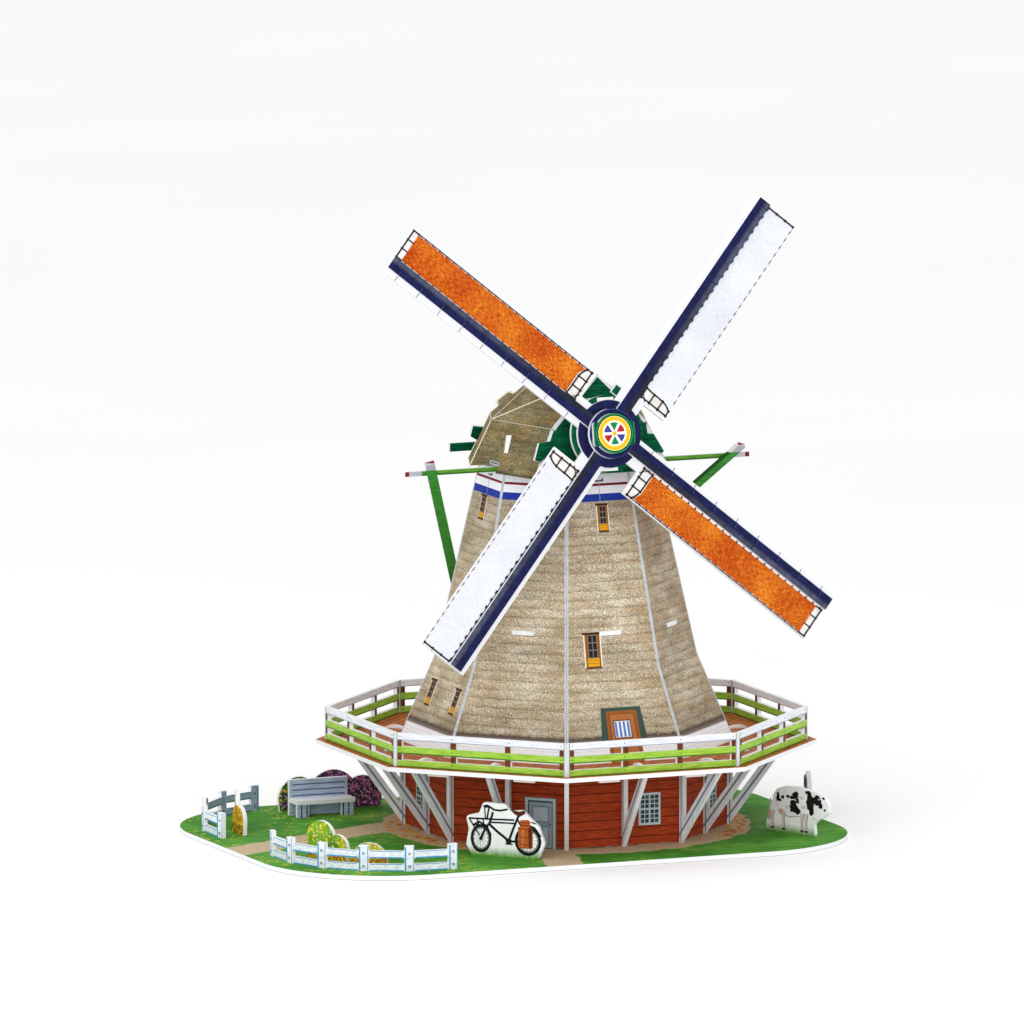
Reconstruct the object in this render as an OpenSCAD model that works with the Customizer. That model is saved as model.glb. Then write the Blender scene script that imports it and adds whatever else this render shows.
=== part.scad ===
// Dutch smock mill: a puzzle of printed foam board on a grass base board.
// The front of the mill faces -Y. The origin is on the tower's axis, at the underside of the base board.

/* [Board] */
// Thickness of every foam board
t = 2; // [1.8:0.1:2.1]

/* [Base board] */
// Length of the base board from side to side
lawn_len = 282; // [278:1:290]
// Width of the base board from front to back
lawn_wide = 208; // [206:1:220]
// Corner radius of the base board
lawn_r = 59; // [56:1:70]

/* [House and gallery] */
// Corner radius of the eight-sided house
house_r = 73.3; // [71:0.1:75]
// Height of the gallery's underside
deck_z = 39.2; // [38:0.1:41]
// Corner radius of the gallery
deck_r = 114.2; // [113.5:0.1:118]
// Corner radius of the railing
rail_r = 110.1; // [109:0.1:111]
// Height of the railing
rail_h = 15.2; // [14:0.1:16]
// Width of each railing post
post_w = 2.7; // [2:0.1:4]

/* [Tower] */
// Corner radius at the tower's foot
foot_r = 76.7; // [74:0.1:78]
// Corner radius at the bend
bend_r = 59.6; // [58:0.1:60]
// Height of the bend
bend_z = 81.1; // [78:0.1:84]
// Corner radius at the tower's top
tower_r = 39.9; // [39:0.1:40]
// Height of the tower's top
tower_z = 168.2; // [167:0.1:168.3]

/* [Sails] */
// Tilt of the windshaft above the horizontal
tilt = 10; // [9:0.5:11]
// Distance of the hub's front plane from the tower's axis
hub_y = 52.7; // [52:0.1:54]
// Height of the hub
hub_z = 188.9; // [188:0.1:190]
// Length of a sail from the hub's centre
sail_len = 131.2; // [120:0.1:132]
// Clockwise angle of the first sail from upright
sail_turn = 40; // [0:5:85]
// Radius of the windshaft
shaft_r = 2.5; // [2:0.1:3]
// Radial clearance of the windshaft and the cap's pin in their holes
play = 0.06; // [0.03:0.01:0.1]

/* [Cap] */
// Height of the roof's ridge
ridge_z = 213.7; // [212:0.1:215]
// Height of the roof's upper crease
crease_z = 190.4; // [189.5:0.1:191]
// Half width of the roof at its widest
eaves_x = 47.6; // [47:0.1:48.5]
// Half length of the long cross beam
beam_x = 84.7; // [80:0.1:86]

/* [Garden] */
// Height of the fence posts
fence_h = 11.7; // [10:0.1:14]
// Height of the bench's back
bench_h = 16.5; // [14:0.1:18]

/* [Hidden] */
$fn = 48;
faces = 8;
turn = 360 / faces;
half = turn / 2;
gap = 0.04;              // clearance between neighbouring boards of one body
ground = t;              // upper face of the base board
deck_top = deck_z + t;
lawn_cx = -27.5;         // the mill stands right of the base board's middle
lawn_cy = -3.5;
floor_z = 97.5;          // middle of the tower's inner floor
top_z = 164.5;           // underside of the tower's top plate
cap_z = 170.7;           // underside of the cap's floor
pin_r = 4;
gable_off = -11.5;       // gable's front face, measured along the windshaft from the hub's front plane
ring_off = -4.3;         // front face of the fixed collar ring
bearing_off = -60;       // front face of the inner bearing board
shaft_back = -68;        // rear end of the windshaft
gable_c = (hub_y + gable_off * cos(tilt)) * cos(tilt) + (hub_z + gable_off * sin(tilt)) * sin(tilt);
rear_lean = 12.3;        // forward lean of the rear gable
fence_r = 56;
side_fence_r = 59;
fence_step = 21;

PAIRS = [0, 1, 2, 3];
EIGHT = [for (i = [0 : faces - 1]) i];
FOUR = [1, 2, 3, 4];

function apothem(r) = r * cos(half);
function side(r) = 2 * r * sin(half);
// Forward reach of a plane square to the windshaft at a height z, with c its distance from the origin
function square_y(c, z) = (c - z * sin(tilt)) / cos(tilt);

// Flat octagon with a face to the front
module octagon(r) rotate(half) circle(r, $fn = faces);

// Two neighbouring faces of an octagonal wall, folded from one board, between two heights
module folded_wall(r, pair, z0, z1) {
  a = apothem(r);
  ai = a - t;
  w = side(r) / 2;
  wi = ai * tan(half);
  first = [[-w + gap, -a], [w, -a], [wi, -ai], [-wi + gap, -ai]];
  function next(p) = [p[0] * cos(turn) - p[1] * sin(turn), p[0] * sin(turn) + p[1] * cos(turn)];
  rotate(2 * turn * pair) translate([0, 0, z0]) linear_extrude(z1 - z0)
    polygon([first[0], first[1], next([w - gap, -a]), next([wi - gap, -ai]), first[2], first[3]]);
}

// Board standing upright on the ground, from a 2D outline of length and height
module standing() rotate([90, 0, 0]) translate([0, 0, -t / 2]) linear_extrude(t) children();

module base_board() color("forestgreen") linear_extrude(t) translate([lawn_cx, lawn_cy])
  hull() for (sx = [-1, 1], sy = [-1, 1])
    translate([sx * (lawn_len / 2 - lawn_r), sy * (lawn_wide / 2 - lawn_r)]) circle(lawn_r, $fn = 96);

// ---- House ----
module house_wall(pair) color("firebrick") folded_wall(house_r, pair, ground, deck_z);

// Post and slanted brace, meeting in a pointed foot; x runs outwards from the wall
module bracket_outline() {
  reach = 27.2;
  foot = 0.9;
  post = 2.6;
  brace = 4.9;
  rise = deck_z - ground;
  difference() {
    polygon([[0, 0], [foot, 0], [reach, rise], [0, rise]]);
    polygon([[post, (post + brace) * rise / reach], [reach - brace, rise], [reach - brace, rise + 1],
      [post, rise + 1]]);
  }
}

module bracket(j) rotate(half * j)
  translate([0, -(j % 2 == 0 ? apothem(house_r) : house_r) - gap, ground])
    rotate([90, 0, -90]) translate([0, 0, -t / 2]) linear_extrude(t) bracket_outline();

module brackets(group) color("slategray") for (k = [0 : 3]) bracket(4 * group + k);

// ---- Gallery ----
tab_w = 10;
tab_drop = 1.6;

module rail_tabs(extra = 0) for (s = [-1, 1])
  translate([s * side(rail_r) / 4 - tab_w / 2 - extra, -apothem(rail_r) - extra, deck_z - tab_drop])
    cube([tab_w + 2 * extra, t + 2 * extra, t + tab_drop + 0.5]);

module gallery_deck() color("peru") difference() {
  translate([0, 0, deck_z]) linear_extrude(t) octagon(deck_r);
  for (i = EIGHT) rotate(turn * i) rail_tabs(gap);
}

// Two rows of openings between three bars and four posts
module rail_openings() {
  bars = [3.05, 3.3, 3.05];
  space = (rail_h - bars[0] - bars[1] - bars[2]) / 2;
  bays = 3;
  w = side(rail_r) - 2 * t * tan(half) - 2 * gap;
  bay = (w - (bays + 1) * post_w) / bays;
  for (b = [0 : bays - 1], z = [bars[0], bars[0] + space + bars[1]])
    translate([-w / 2 + post_w + b * (bay + post_w), -rail_r, deck_top + z]) cube([bay, 20, space]);
}

module railing(pair) color("yellowgreen") {
  difference() {
    folded_wall(rail_r, pair, deck_top, deck_top + rail_h);
    for (k = [0, 1]) rotate(turn * (2 * pair + k)) rail_openings();
  }
  for (k = [0, 1]) rotate(turn * (2 * pair + k)) rail_tabs();
}

// ---- Tower ----
lower_slope = (apothem(foot_r) - apothem(bend_r)) / (bend_z - deck_top);
upper_slope = (apothem(bend_r) - apothem(tower_r)) / (tower_z - bend_z);
lower_in = t * sqrt(1 + lower_slope * lower_slope);
upper_in = t * sqrt(1 + upper_slope * upper_slope);
bend_in_z = bend_z - (lower_in - upper_in) / (lower_slope - upper_slope);

// Distance of the tower's outer face from the axis at a height above the bend
function tower_face(z) = apothem(tower_r) + upper_slope * (tower_z - z);

module tower_wall_profile() polygon([
  [-apothem(foot_r), deck_top],
  [-apothem(bend_r), bend_z],
  [-apothem(tower_r), tower_z],
  [-apothem(tower_r) + upper_in, tower_z],
  [-apothem(bend_r) + upper_in - upper_slope * (bend_z - bend_in_z), bend_in_z],
  [-apothem(foot_r) + lower_in, deck_top]
]);

module floor_tabs(z, width, proud, extra = 0)
  translate([-width / 2 - extra, -tower_face(z) - proud, z - t / 2 - extra])
    cube([width + 2 * extra, 2 * t, t + 2 * extra]);

mid_tab_w = 10.8;
top_tab_w = 3.4;

module tower_wall(i) color("tan") rotate(turn * (i - 1)) difference() {
  intersection() {
    rotate([90, 0, 90]) translate([0, 0, -foot_r]) linear_extrude(2 * foot_r) tower_wall_profile();
    translate([0, 0, deck_top - 1]) linear_extrude(tower_z)
      polygon([[0, -gap / sin(half)], [-100 * tan(half), -100 - gap / sin(half)],
               [100 * tan(half), -100 - gap / sin(half)]]);
  }
  floor_tabs(floor_z, mid_tab_w, 2, gap);
  floor_tabs(top_z + t / 2, top_tab_w, 2, gap);
}

module mid_floor() color("peru") {
  translate([0, 0, floor_z - t / 2]) linear_extrude(t)
    octagon((tower_face(floor_z + t / 2) - upper_in - gap) / cos(half));
  for (i = EIGHT) rotate(turn * i) floor_tabs(floor_z, mid_tab_w, 0.4);
}

module tower_top_plate() color("silver") difference() {
  union() {
    translate([0, 0, top_z]) linear_extrude(t)
      octagon((tower_face(top_z + t) - upper_in - gap) / cos(half));
    for (i = EIGHT) rotate(turn * i) floor_tabs(top_z + t / 2, top_tab_w, 0);
  }
  translate([0, 0, top_z - 1]) cylinder(h = t + 2, r = pin_r + play);
}

// ---- Cap ----
cap_core = [0, -5, 172];        // point towards which the roof's inner faces shrink
cap_shrink = 0.944;
roof_low = 168.4;
crease_x = 37;
front_crease_x = 23;
rear_y = 26.8;                  // rear eaves, behind the axis
rear_top_x = 28.2;
ridge_back = 13.5;              // rear end of the ridge, behind the axis
eaves_z = 169.8;
low_x = eaves_x + (eaves_x - crease_x) * (eaves_z - roof_low) / (crease_z - eaves_z);

// Point of the plane through a, b and c above a place y and height z
function on_plane(a, b, c, y, z) = let (n = cross(b - a, c - a))
  [a[0] - (n[1] * (y - a[1]) + n[2] * (z - a[2])) / n[0], y, z];
rear_h = (crease_z - eaves_z) / cos(rear_lean);
function rear_face(z) = rear_y - (z - eaves_z) * tan(rear_lean);

// Outer corners of the right half of the roof, in the order of the creases
apex = [0, -square_y(gable_c, ridge_z), ridge_z];
ridge_end = [0, ridge_back, ridge_z];
crease_mid = [crease_x, 0, crease_z];
crease_front = [front_crease_x, -square_y(gable_c, crease_z), crease_z];
low_mid = [low_x, 0, roof_low];
low_front = on_plane(crease_front, crease_mid, low_mid, -square_y(gable_c, roof_low), roof_low);
crease_rear = [rear_top_x, rear_face(crease_z), crease_z];
low_rear = on_plane(crease_rear, crease_mid, low_mid, rear_face(roof_low), roof_low);
ROOF = [apex, ridge_end, crease_mid, crease_front, low_front, low_mid, crease_rear, low_rear];

function inward(p) = cap_core + cap_shrink * (p - cap_core);

// Shell between a skin of outer faces and the same skin shrunk inwards; rim is the skin's open edge
module shell(outer, skin, rim) {
  n = len(outer);
  polyhedron(
    points = concat(outer, [for (p = outer) inward(p)]),
    faces = concat(
      skin,
      [for (f = skin) [for (k = [len(f) - 1 : -1 : 0]) f[k] + n]],
      [for (k = [0 : len(rim) - 1]) let (a = rim[k], b = rim[(k + 1) % len(rim)]) [b, a, a + n, b + n]]
    )
  );
}

// Half space in front of the front gable's rear face
module gable_cut() on_shaft() translate([-100, -100, gable_off - t - gap]) cube([200, 200, 100]);

// Half space behind the rear gable's inner face
module rear_cut() translate([0, rear_y, eaves_z]) rotate([rear_lean, 0, 0])
  translate([-100, -t - gap, -60]) cube([200, 100, 200]);

// Notch that the long cross beam passes through
module beam_notch() rotate([90, 0, 90]) linear_extrude(100)
  polygon([[-17.5, 150], [-17.5, 172.4], [0, eaves_z], [60, eaves_z], [60, 150]]);

module roof_right() color("olive") difference() {
  shell(ROOF,
    [[3, 2, 5, 4], [0, 2, 3], [0, 1, 2], [1, 6, 2], [2, 6, 7, 5]],
    [0, 3, 4, 5, 7, 6, 1]);
  gable_cut();
  rear_cut();
  beam_notch();
}

module roof_left() mirror([1, 0, 0]) roof_right();

module roof_rear() color("olive") difference() {
  shell([ridge_end, crease_rear, [-rear_top_x, rear_face(crease_z), crease_z]], [[0, 2, 1]], [0, 1, 2]);
  rear_cut();
}

// Places children on the windshaft: z along the shaft towards the front, x to the side, y up
module on_shaft() translate([0, -hub_y, hub_z]) rotate([90 - tilt, 0, 0]) children();

// Closed outline from the points of its right half, which starts and ends on the middle line
function both_sides(right) = concat(right, [for (k = [len(right) - 2 : -1 : 1]) [-right[k][0], right[k][1]]]);

spacer_y = 15.7;                // distance of the collar spacers from the windshaft
spacer_tab = 4;                 // half width of a spacer's tabs

module spacer_slots() for (s = [-1, 1])
  translate([-spacer_tab - gap, s * spacer_y - t / 2 - gap, gable_off - t - 1])
    cube([2 * (spacer_tab + gap), t + 2 * gap, 20]);

module gable_front() color("darkgreen") difference() {
  on_shaft() translate([0, 0, gable_off - t]) linear_extrude(t) difference() {
    polygon([[0, 27.3], [22.2, 4.4], [22.6, -0.7], [25.6, -0.9], [30.2, -9.2], [28.6, -9.9], [26.4, -9],
      [29, -17.6], [-32, -17.6], [-28.6, -9.3], [-31, -10.7], [-33.4, -9.8], [-30.7, -2.1], [-25.3, -1.6],
      [-23.3, 3.2]]);
    circle(shaft_r + play);
  }
  on_shaft() spacer_slots();
}

module gable_rear() color("darkgreen") translate([0, rear_y, eaves_z]) rotate([90 + rear_lean, 0, 0])
  linear_extrude(t) polygon(both_sides([[0, 0], [low_rear[0] - 0.6, 0], [33.6, 8], [37.8, 10.5], [37, 15.5],
    [30.6, 14.5], [rear_top_x, rear_h], [0, rear_h]]));

module cap_floor() color("saddlebrown") translate([0, 0, cap_z]) linear_extrude(t) difference() {
  polygon(both_sides([[0, -41.2], [28.4, -41.2], [29.6, -39], [43.2, 0], [33, 23.9], [0, 23.9]]));
  circle(pin_r - 0.5);
}

// Pin under the cap's floor, with a shoulder that rides on the tower's top plate and a clip below it
module cap_pin() color("dimgray") {
  slack = 0.1;
  shoulder = 10;
  cylinder_from(top_z + t + slack, cap_z, shoulder);
  cylinder_from(top_z - t - slack, top_z + t + slack, pin_r);
  cylinder_from(top_z - t - slack, top_z - slack, 7);
  cylinder_from(cap_z - 0.01, cap_z + t, pin_r - 0.5);
}

module cylinder_from(z0, z1, r) translate([0, 0, z0]) cylinder(h = z1 - z0, r = r);

module collar_ring() color("seagreen") on_shaft() difference() {
  translate([0, 0, ring_off - t]) cylinder(h = t, r = 17.7, $fn = 96);
  translate([0, 0, ring_off - t - 1]) cylinder(h = t + 2, r = shaft_r + play);
  spacer_slots();
}

// Two boards that hold the collar ring off the gable; narrow tabs pass through both
module collar_spacers() color("seagreen") on_shaft() {
  tab = spacer_tab;
  wide = 7;
  front = t - ring_off;
  back = -gable_off;
  for (s = [-1, 1]) translate([0, s * spacer_y + t / 2, 0]) rotate([-90, 0, 0])
    translate([0, 0, -t]) linear_extrude(t) polygon(both_sides([[0, front - t], [tab, front - t],
      [tab, front + gap], [wide, front + gap], [wide, back - gap], [tab, back - gap], [tab, back + t], [0, back + t]]));
}

module shaft_bearing() color("burlywood") difference() {
  on_shaft() translate([0, 0, bearing_off - t]) linear_extrude(t) difference() {
    translate([-15, -12]) square([30, 30]);
    circle(shaft_r + play);
  }
  translate([-100, -100, cap_z - 30 + t + gap]) cube([200, 200, 30]);
}

// ---- Beams and tail ----
beam_y = 12.5;
beam_low = 168.5;
beam_high = cap_z - gap;
brace_top = [76.7, -23.2, 175.6];
brace_foot = [3.2, 102, 59.3];

module cross_beam() color("olivedrab")
  translate([-beam_x, -beam_y - t / 2, beam_low]) cube([2 * beam_x, t, beam_high - beam_low]);

module rear_beam() color("darkgreen") translate([0, rear_y + t + 0.9, 172]) difference() {
  translate([-45, 0, 0]) cube([90, t, 3.9]);
  translate([-t / 2 - gap, -1, 1.9]) cube([t + 2 * gap, t + 2, 3]);
}

// Long brace from the cross beam's end down to the foot of the tail, with its flat side facing forwards
module brace() {
  wide = 4.4;
  run = brace_foot - brace_top;
  along = run / norm(run);
  flat = cross(along, [1, 0, 0]) / norm(cross(along, [1, 0, 0]));
  across = cross(flat, along);
  multmatrix([
    [along[0], flat[0], across[0], brace_top[0]],
    [along[1], flat[1], across[1], brace_top[1]],
    [along[2], flat[2], across[2], brace_top[2]],
    [0, 0, 0, 1]
  ]) translate([0, -t / 2, -wide / 2]) cube([norm(run), t, wide]);
}

module brace_right() color("forestgreen") difference() {
  brace();
  translate([-200 + t / 2 + gap, 0, 0]) cube([200, 200, 200]);
}

module brace_left() mirror([1, 0, 0]) brace_right();

module tail_pole() color("seagreen") rotate([90, 0, 90]) translate([0, 0, -t / 2]) linear_extrude(t)
  difference() {
    polygon([[rear_y + 0.9, 170.9], [43.5, 170.9], [98.5, 58.6], [104, 58.6], [104, 64], [46, 180], [rear_y, 183],
      [rear_y - 0.6, 178]]);
    translate([rear_y + t + 0.9 - gap, 170]) square([t + 2 * gap, 3.9]);
  }

// ---- Windshaft and hub ----
module windshaft() color("dimgray") on_shaft() {
  translate([0, 0, shaft_back]) cylinder(h = t - shaft_back, r = shaft_r);
  translate([0, 0, shaft_back]) cylinder(h = bearing_off - t - 0.2 - shaft_back, r = 4);
}

module disc(off, r) translate([0, 0, off]) difference() {
  cylinder(h = t, r = r, $fn = 96);
  translate([0, 0, -1]) cylinder(h = t + 2, r = shaft_r + 0.01);
}

hub_back_r = 15.4;

module hub_back() color("midnightblue") on_shaft() disc(-2 * t, hub_back_r);
module hub_front() color("midnightblue") on_shaft() disc(0, 11.4);

module hub_boss() color("seagreen") on_shaft() translate([0, 0, t]) linear_extrude(t) union() {
  circle(9.2, $fn = 96);
  offset(r = 1.2, $fn = 24) square([17.8, 8.5], center = true);
}

// ---- Sails ----
stock_lead = 4.3;               // width of the stock ahead of the sail's axis
stock_trail = 1.75;             // width of the stock behind it
sail_w = 17.9;                  // reach of the sail board behind the axis
sail_lead = 6.8;                // reach of the sail board's bare edge ahead of it

module at_sail(k) on_shaft() rotate(-sail_turn - 90 * (k - 1)) children();

module stock(k) color("midnightblue") at_sail(k)
  translate([-stock_lead, stock_lead + gap, -t]) cube([stock_lead + stock_trail, sail_len - stock_lead - gap, t]);

module sail(k) color(k % 2 == 0 ? "darkorange" : "white") at_sail(k)
  translate([0, 0, -2 * t]) linear_extrude(t) difference() {
    polygon([[-sail_lead, 12], [5.7, 12], [5.7, 20.8], [sail_w, 20.8], [sail_w, sail_len], [-sail_lead, sail_len]]);
    circle(hub_back_r + gap, $fn = 96);
  }

// ---- Garden ----
function arc_point(c, r, a) = [c[0] - r * cos(a), c[1] + r * sin(a)];

// Fence on an arc about c, with a post at each listed angle and two rails between posts
module fence(c, r, angles) {
  post = 4.2;
  rail = 3.3;
  rail_t = t - 0.1;
  upper = 5.9;
  for (a = angles) translate([each arc_point(c, r, a), ground]) rotate(90 - a)
    translate([-post / 2, -t / 2, 0]) cube([post, t, fence_h]);
  for (k = [0 : len(angles) - 2]) {
    p = arc_point(c, r, angles[k]);
    q = arc_point(c, r, angles[k + 1]);
    for (z = [0, upper]) translate([p[0], p[1], ground + z]) rotate(atan2(q[1] - p[1], q[0] - p[0]))
      translate([post / 4, -rail_t / 2, 0]) cube([norm(q - p) - post / 2, rail_t, rail]);
  }
}

garden_x = -101.5;              // middle of both fences' arcs
garden_y = 37;                  // distance of the arcs' middles from the base board's long axis

module fence_front() color("white")
  fence([garden_x, lawn_cy - garden_y], fence_r, [for (k = [0 : 5]) 9 - fence_step * k]);

module fence_side() color("white")
  fence([garden_x, lawn_cy + garden_y], side_fence_r, [for (k = [0 : 4]) fence_step * k - 9.5]);

// Bench with a tall back, a seat board and two front legs
module bench() color("lightsteelblue") translate([-107.8, 62.5, ground]) {
  width = 28.6;
  deep = 9.5;
  seat = 6;
  leg = 5.7;
  translate([0, deep - t, 0]) cube([width, t, bench_h]);
  translate([0.4, -1, seat]) cube([width, deep, t]);
  for (x = [0.9, width - leg]) translate([x, 0, 0]) cube([leg, t, seat + 0.1]);
}

// Rounded hump on the ground about x, r wide to each side and h high
module dome(x, r, h) intersection() {
  hull() {
    translate([x, h - r]) circle(r);
    translate([x - r * 0.94, 0]) square([r * 1.88, 0.5]);
  }
  translate([x - 2 * r, 0]) square([4 * r, h]);
}

module bush_rear() color("darkgreen") translate([-83, 82, ground]) standing() {
  dome(-15.7, 9.9, 15.9);
  dome(1, 12.6, 18.2);
  dome(15.6, 9.7, 14.7);
}

module bush_left() color("gold") {
  translate([-147.5, 32, ground]) rotate(90) standing() dome(0, 6.8, 13);
  translate([-142.4, 47.5, ground]) rotate(70) standing() dome(0, 8.5, 17.5);
}

module bush_front() color("gold") translate([-132.5, -61, ground]) {
  rotate(120) translate([0, -1.1, 0]) standing() {
    dome(15.6, 7.6, 17.4);
    dome(6.2, 6.1, 11.9);
  }
  rotate(-31) translate([1.4, 0, 0]) standing() dome(8.6, 8.6, 9.2);
}

module rounded(r) offset(r = r, $fn = 20) offset(delta = -r) children();

module bicycle() color("dimgray") rotate(-turn) translate([9.9, -96, ground]) standing() rounded(1.6)
  polygon([[-16, 0], [-18.9, 5], [-17.6, 12], [-19, 18], [-12.5, 19.6], [-10.5, 24.6], [0.2, 24.4], [2.4, 21.4],
    [9, 22], [12.6, 18.4], [16.6, 15], [19.4, 7], [16.4, 0]]);

module cow_outline() rounded(1.4)
  polygon([[0, 0], [-0.3, 3], [2, 10], [4.3, 17.4], [6.4, 20], [10.4, 21.4], [19.8, 22], [25, 21.2], [31.2, 20.2],
    [35.4, 18.8], [37.8, 15.6], [37.4, 11.8], [34.6, 9.3], [31, 8], [28.8, 5.6], [29.6, 0]]);

module cow_1() color("white") translate([78.4, -50.6, ground]) rotate(-65) standing() cow_outline();

module cow_2() color("white") translate([104.2, -38.5, ground]) rotate(71) standing() rounded(1.4)
  polygon([[0, 0], [0, 17], [2, 19.4], [5, 20.4], [9, 22.6], [13, 19.8], [20, 19.2], [23.5, 14.4], [22, 9], [19, 7],
    [18.6, 0]]);

base_board();
gallery_deck();
mid_floor();
tower_top_plate();
for (p = PAIRS) {
  house_wall(p);
  brackets(p);
  railing(p);
}
for (i = EIGHT) tower_wall(i + 1);
cap_floor();
cap_pin();
gable_front();
gable_rear();
roof_left();
roof_right();
roof_rear();
collar_ring();
collar_spacers();
shaft_bearing();
cross_beam();
rear_beam();
brace_left();
brace_right();
tail_pole();
windshaft();
hub_back();
hub_front();
hub_boss();
for (k = FOUR) {
  stock(k);
  sail(k);
}
fence_front();
fence_side();
bench();
bush_left();
bush_rear();
bush_front();
bicycle();
cow_1();
cow_2();
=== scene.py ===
"""Printed foam-board windmill puzzle: materials, printed details, floor, light and camera."""

import math
import random

import bmesh
import bpy
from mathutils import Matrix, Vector


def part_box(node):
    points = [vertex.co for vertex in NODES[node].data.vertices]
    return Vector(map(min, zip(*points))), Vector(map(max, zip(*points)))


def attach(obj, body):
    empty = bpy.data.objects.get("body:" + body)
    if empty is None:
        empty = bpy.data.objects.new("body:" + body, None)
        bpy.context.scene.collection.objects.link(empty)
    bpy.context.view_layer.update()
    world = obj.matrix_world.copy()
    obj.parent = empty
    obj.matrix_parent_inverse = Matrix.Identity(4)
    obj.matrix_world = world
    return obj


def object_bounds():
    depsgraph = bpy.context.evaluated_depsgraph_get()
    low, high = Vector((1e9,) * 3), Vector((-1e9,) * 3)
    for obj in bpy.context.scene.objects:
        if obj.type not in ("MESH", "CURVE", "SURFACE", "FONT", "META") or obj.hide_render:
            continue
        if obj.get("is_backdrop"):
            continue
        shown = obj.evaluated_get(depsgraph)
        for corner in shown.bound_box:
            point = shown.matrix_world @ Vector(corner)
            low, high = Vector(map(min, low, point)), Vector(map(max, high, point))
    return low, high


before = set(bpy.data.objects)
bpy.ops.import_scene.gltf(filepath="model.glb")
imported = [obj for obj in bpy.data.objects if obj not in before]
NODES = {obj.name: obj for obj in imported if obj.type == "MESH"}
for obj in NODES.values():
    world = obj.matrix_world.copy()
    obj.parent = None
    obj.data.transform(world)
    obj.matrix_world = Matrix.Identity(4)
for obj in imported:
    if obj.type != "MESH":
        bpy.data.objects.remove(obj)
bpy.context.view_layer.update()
MM = 0.001
FACES = 8
TURN = 2 * math.pi / FACES
HALF = TURN / 2


def edge_of(node, axis, side):
    """Lowest (side 0) or highest (side 1) coordinate of a CAD node, in millimetres."""
    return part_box(node)[side][axis] / MM


# ---- Measures read from the frame, in millimetres ----
GROUND = edge_of("base_board", 2, 1)
DECK_LOW = edge_of("gallery_deck", 2, 0)
DECK_TOP = edge_of("gallery_deck", 2, 1)
RAIL_TOP = edge_of("railing_1", 2, 1)
RAIL_FACE = -edge_of("railing_1", 1, 0)
HOUSE_FACE = -edge_of("house_wall_1", 1, 0)
TOWER_FOOT = -edge_of("tower_wall_1", 1, 0)
TOWER_TOP_Z = edge_of("tower_wall_1", 2, 1)
BEAM_END = edge_of("cross_beam", 0, 1)
ROOF_LOW = edge_of("roof_left", 2, 0)

# ---- Measures of the design that no box gives, in millimetres ----
BOARD = 2.0
BEND_Z = 81.1
BEND_FACE = 59.6 * math.cos(HALF)
TOWER_TOP_FACE = 39.9 * math.cos(HALF)
BRACKET_REACH = 27.2
CAP_CORE = Vector((0, -5, 172))
GABLE_BACK = 11.5
ROOF_CREST = 213.7
ROOF_EAVES = 190.4
HUB = Vector((0, -52.7, 188.9))
TILT = math.radians(10)
SAIL_EDGE, CLOTH_FOOT, CLOTH_TIP, CLOTH_HEM = 17.35, 28.4, 127.2, 130.2
LACE_STEP, SEAM_STEP = 4.2, 12.8
BICYCLE_ANGLE, COW_1_ANGLE, COW_2_ANGLE = -45, -65, 71
FENCE_CENTRES = {"fence_front": Vector((-101.5, -40.5, 0)), "fence_side": Vector((-101.5, 33.5, 0))}

UP = Vector((0, 0, 1))
BACK = Vector((0, 1, 0))
LATERAL = Vector((1, 0, 0))
SHAFT = Vector((0, -math.cos(TILT), math.sin(TILT)))
SHAFT_UP = Vector((0, math.sin(TILT), math.cos(TILT)))


def heading(degrees):
    """Unit vector on the ground, counted from +x towards +y."""
    a = math.radians(degrees)
    return Vector((math.cos(a), math.sin(a), 0))


# ---- Colours and node graphs ----
def rgb(code):
    """Linear colour from a hexadecimal sRGB code."""
    parts = [int(code[i : i + 2], 16) / 255 for i in (1, 3, 5)]
    return tuple(c / 12.92 if c <= 0.04045 else ((c + 0.055) / 1.055) ** 2.4 for c in parts) + (1.0,)


class Value:
    """A socket of a node graph that adds, multiplies and compares like a number."""

    def __init__(self, paint, socket):
        self.paint, self.socket = paint, socket

    def __add__(self, other):
        return self.paint.math("ADD", self, other)

    def __sub__(self, other):
        return self.paint.math("SUBTRACT", self, other)

    def __rsub__(self, other):
        return self.paint.math("SUBTRACT", other, self)

    def __mul__(self, other):
        return self.paint.math("MULTIPLY", self, other)

    def __truediv__(self, other):
        return self.paint.math("DIVIDE", self, other)

    def __abs__(self):
        return self.paint.math("ABSOLUTE", self)

    def fraction(self):
        return self.paint.math("FRACT", self)

    def floor(self):
        return self.paint.math("FLOOR", self)

    def above(self, edge, soft=0.1):
        """1 where the value is above the edge, 0 below it, with a soft step."""
        return self.paint.math("MULTIPLY_ADD", self - edge, 1 / soft, 0.5, clamp=True)

    def below(self, edge, soft=0.1):
        return self.paint.math("MULTIPLY_ADD", self - edge, -1 / soft, 0.5, clamp=True)

    def between(self, low, high, soft=0.1):
        return self.above(low, soft) * self.below(high, soft)

    def either(self, other):
        return self.paint.math("MAXIMUM", self, other)


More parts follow.
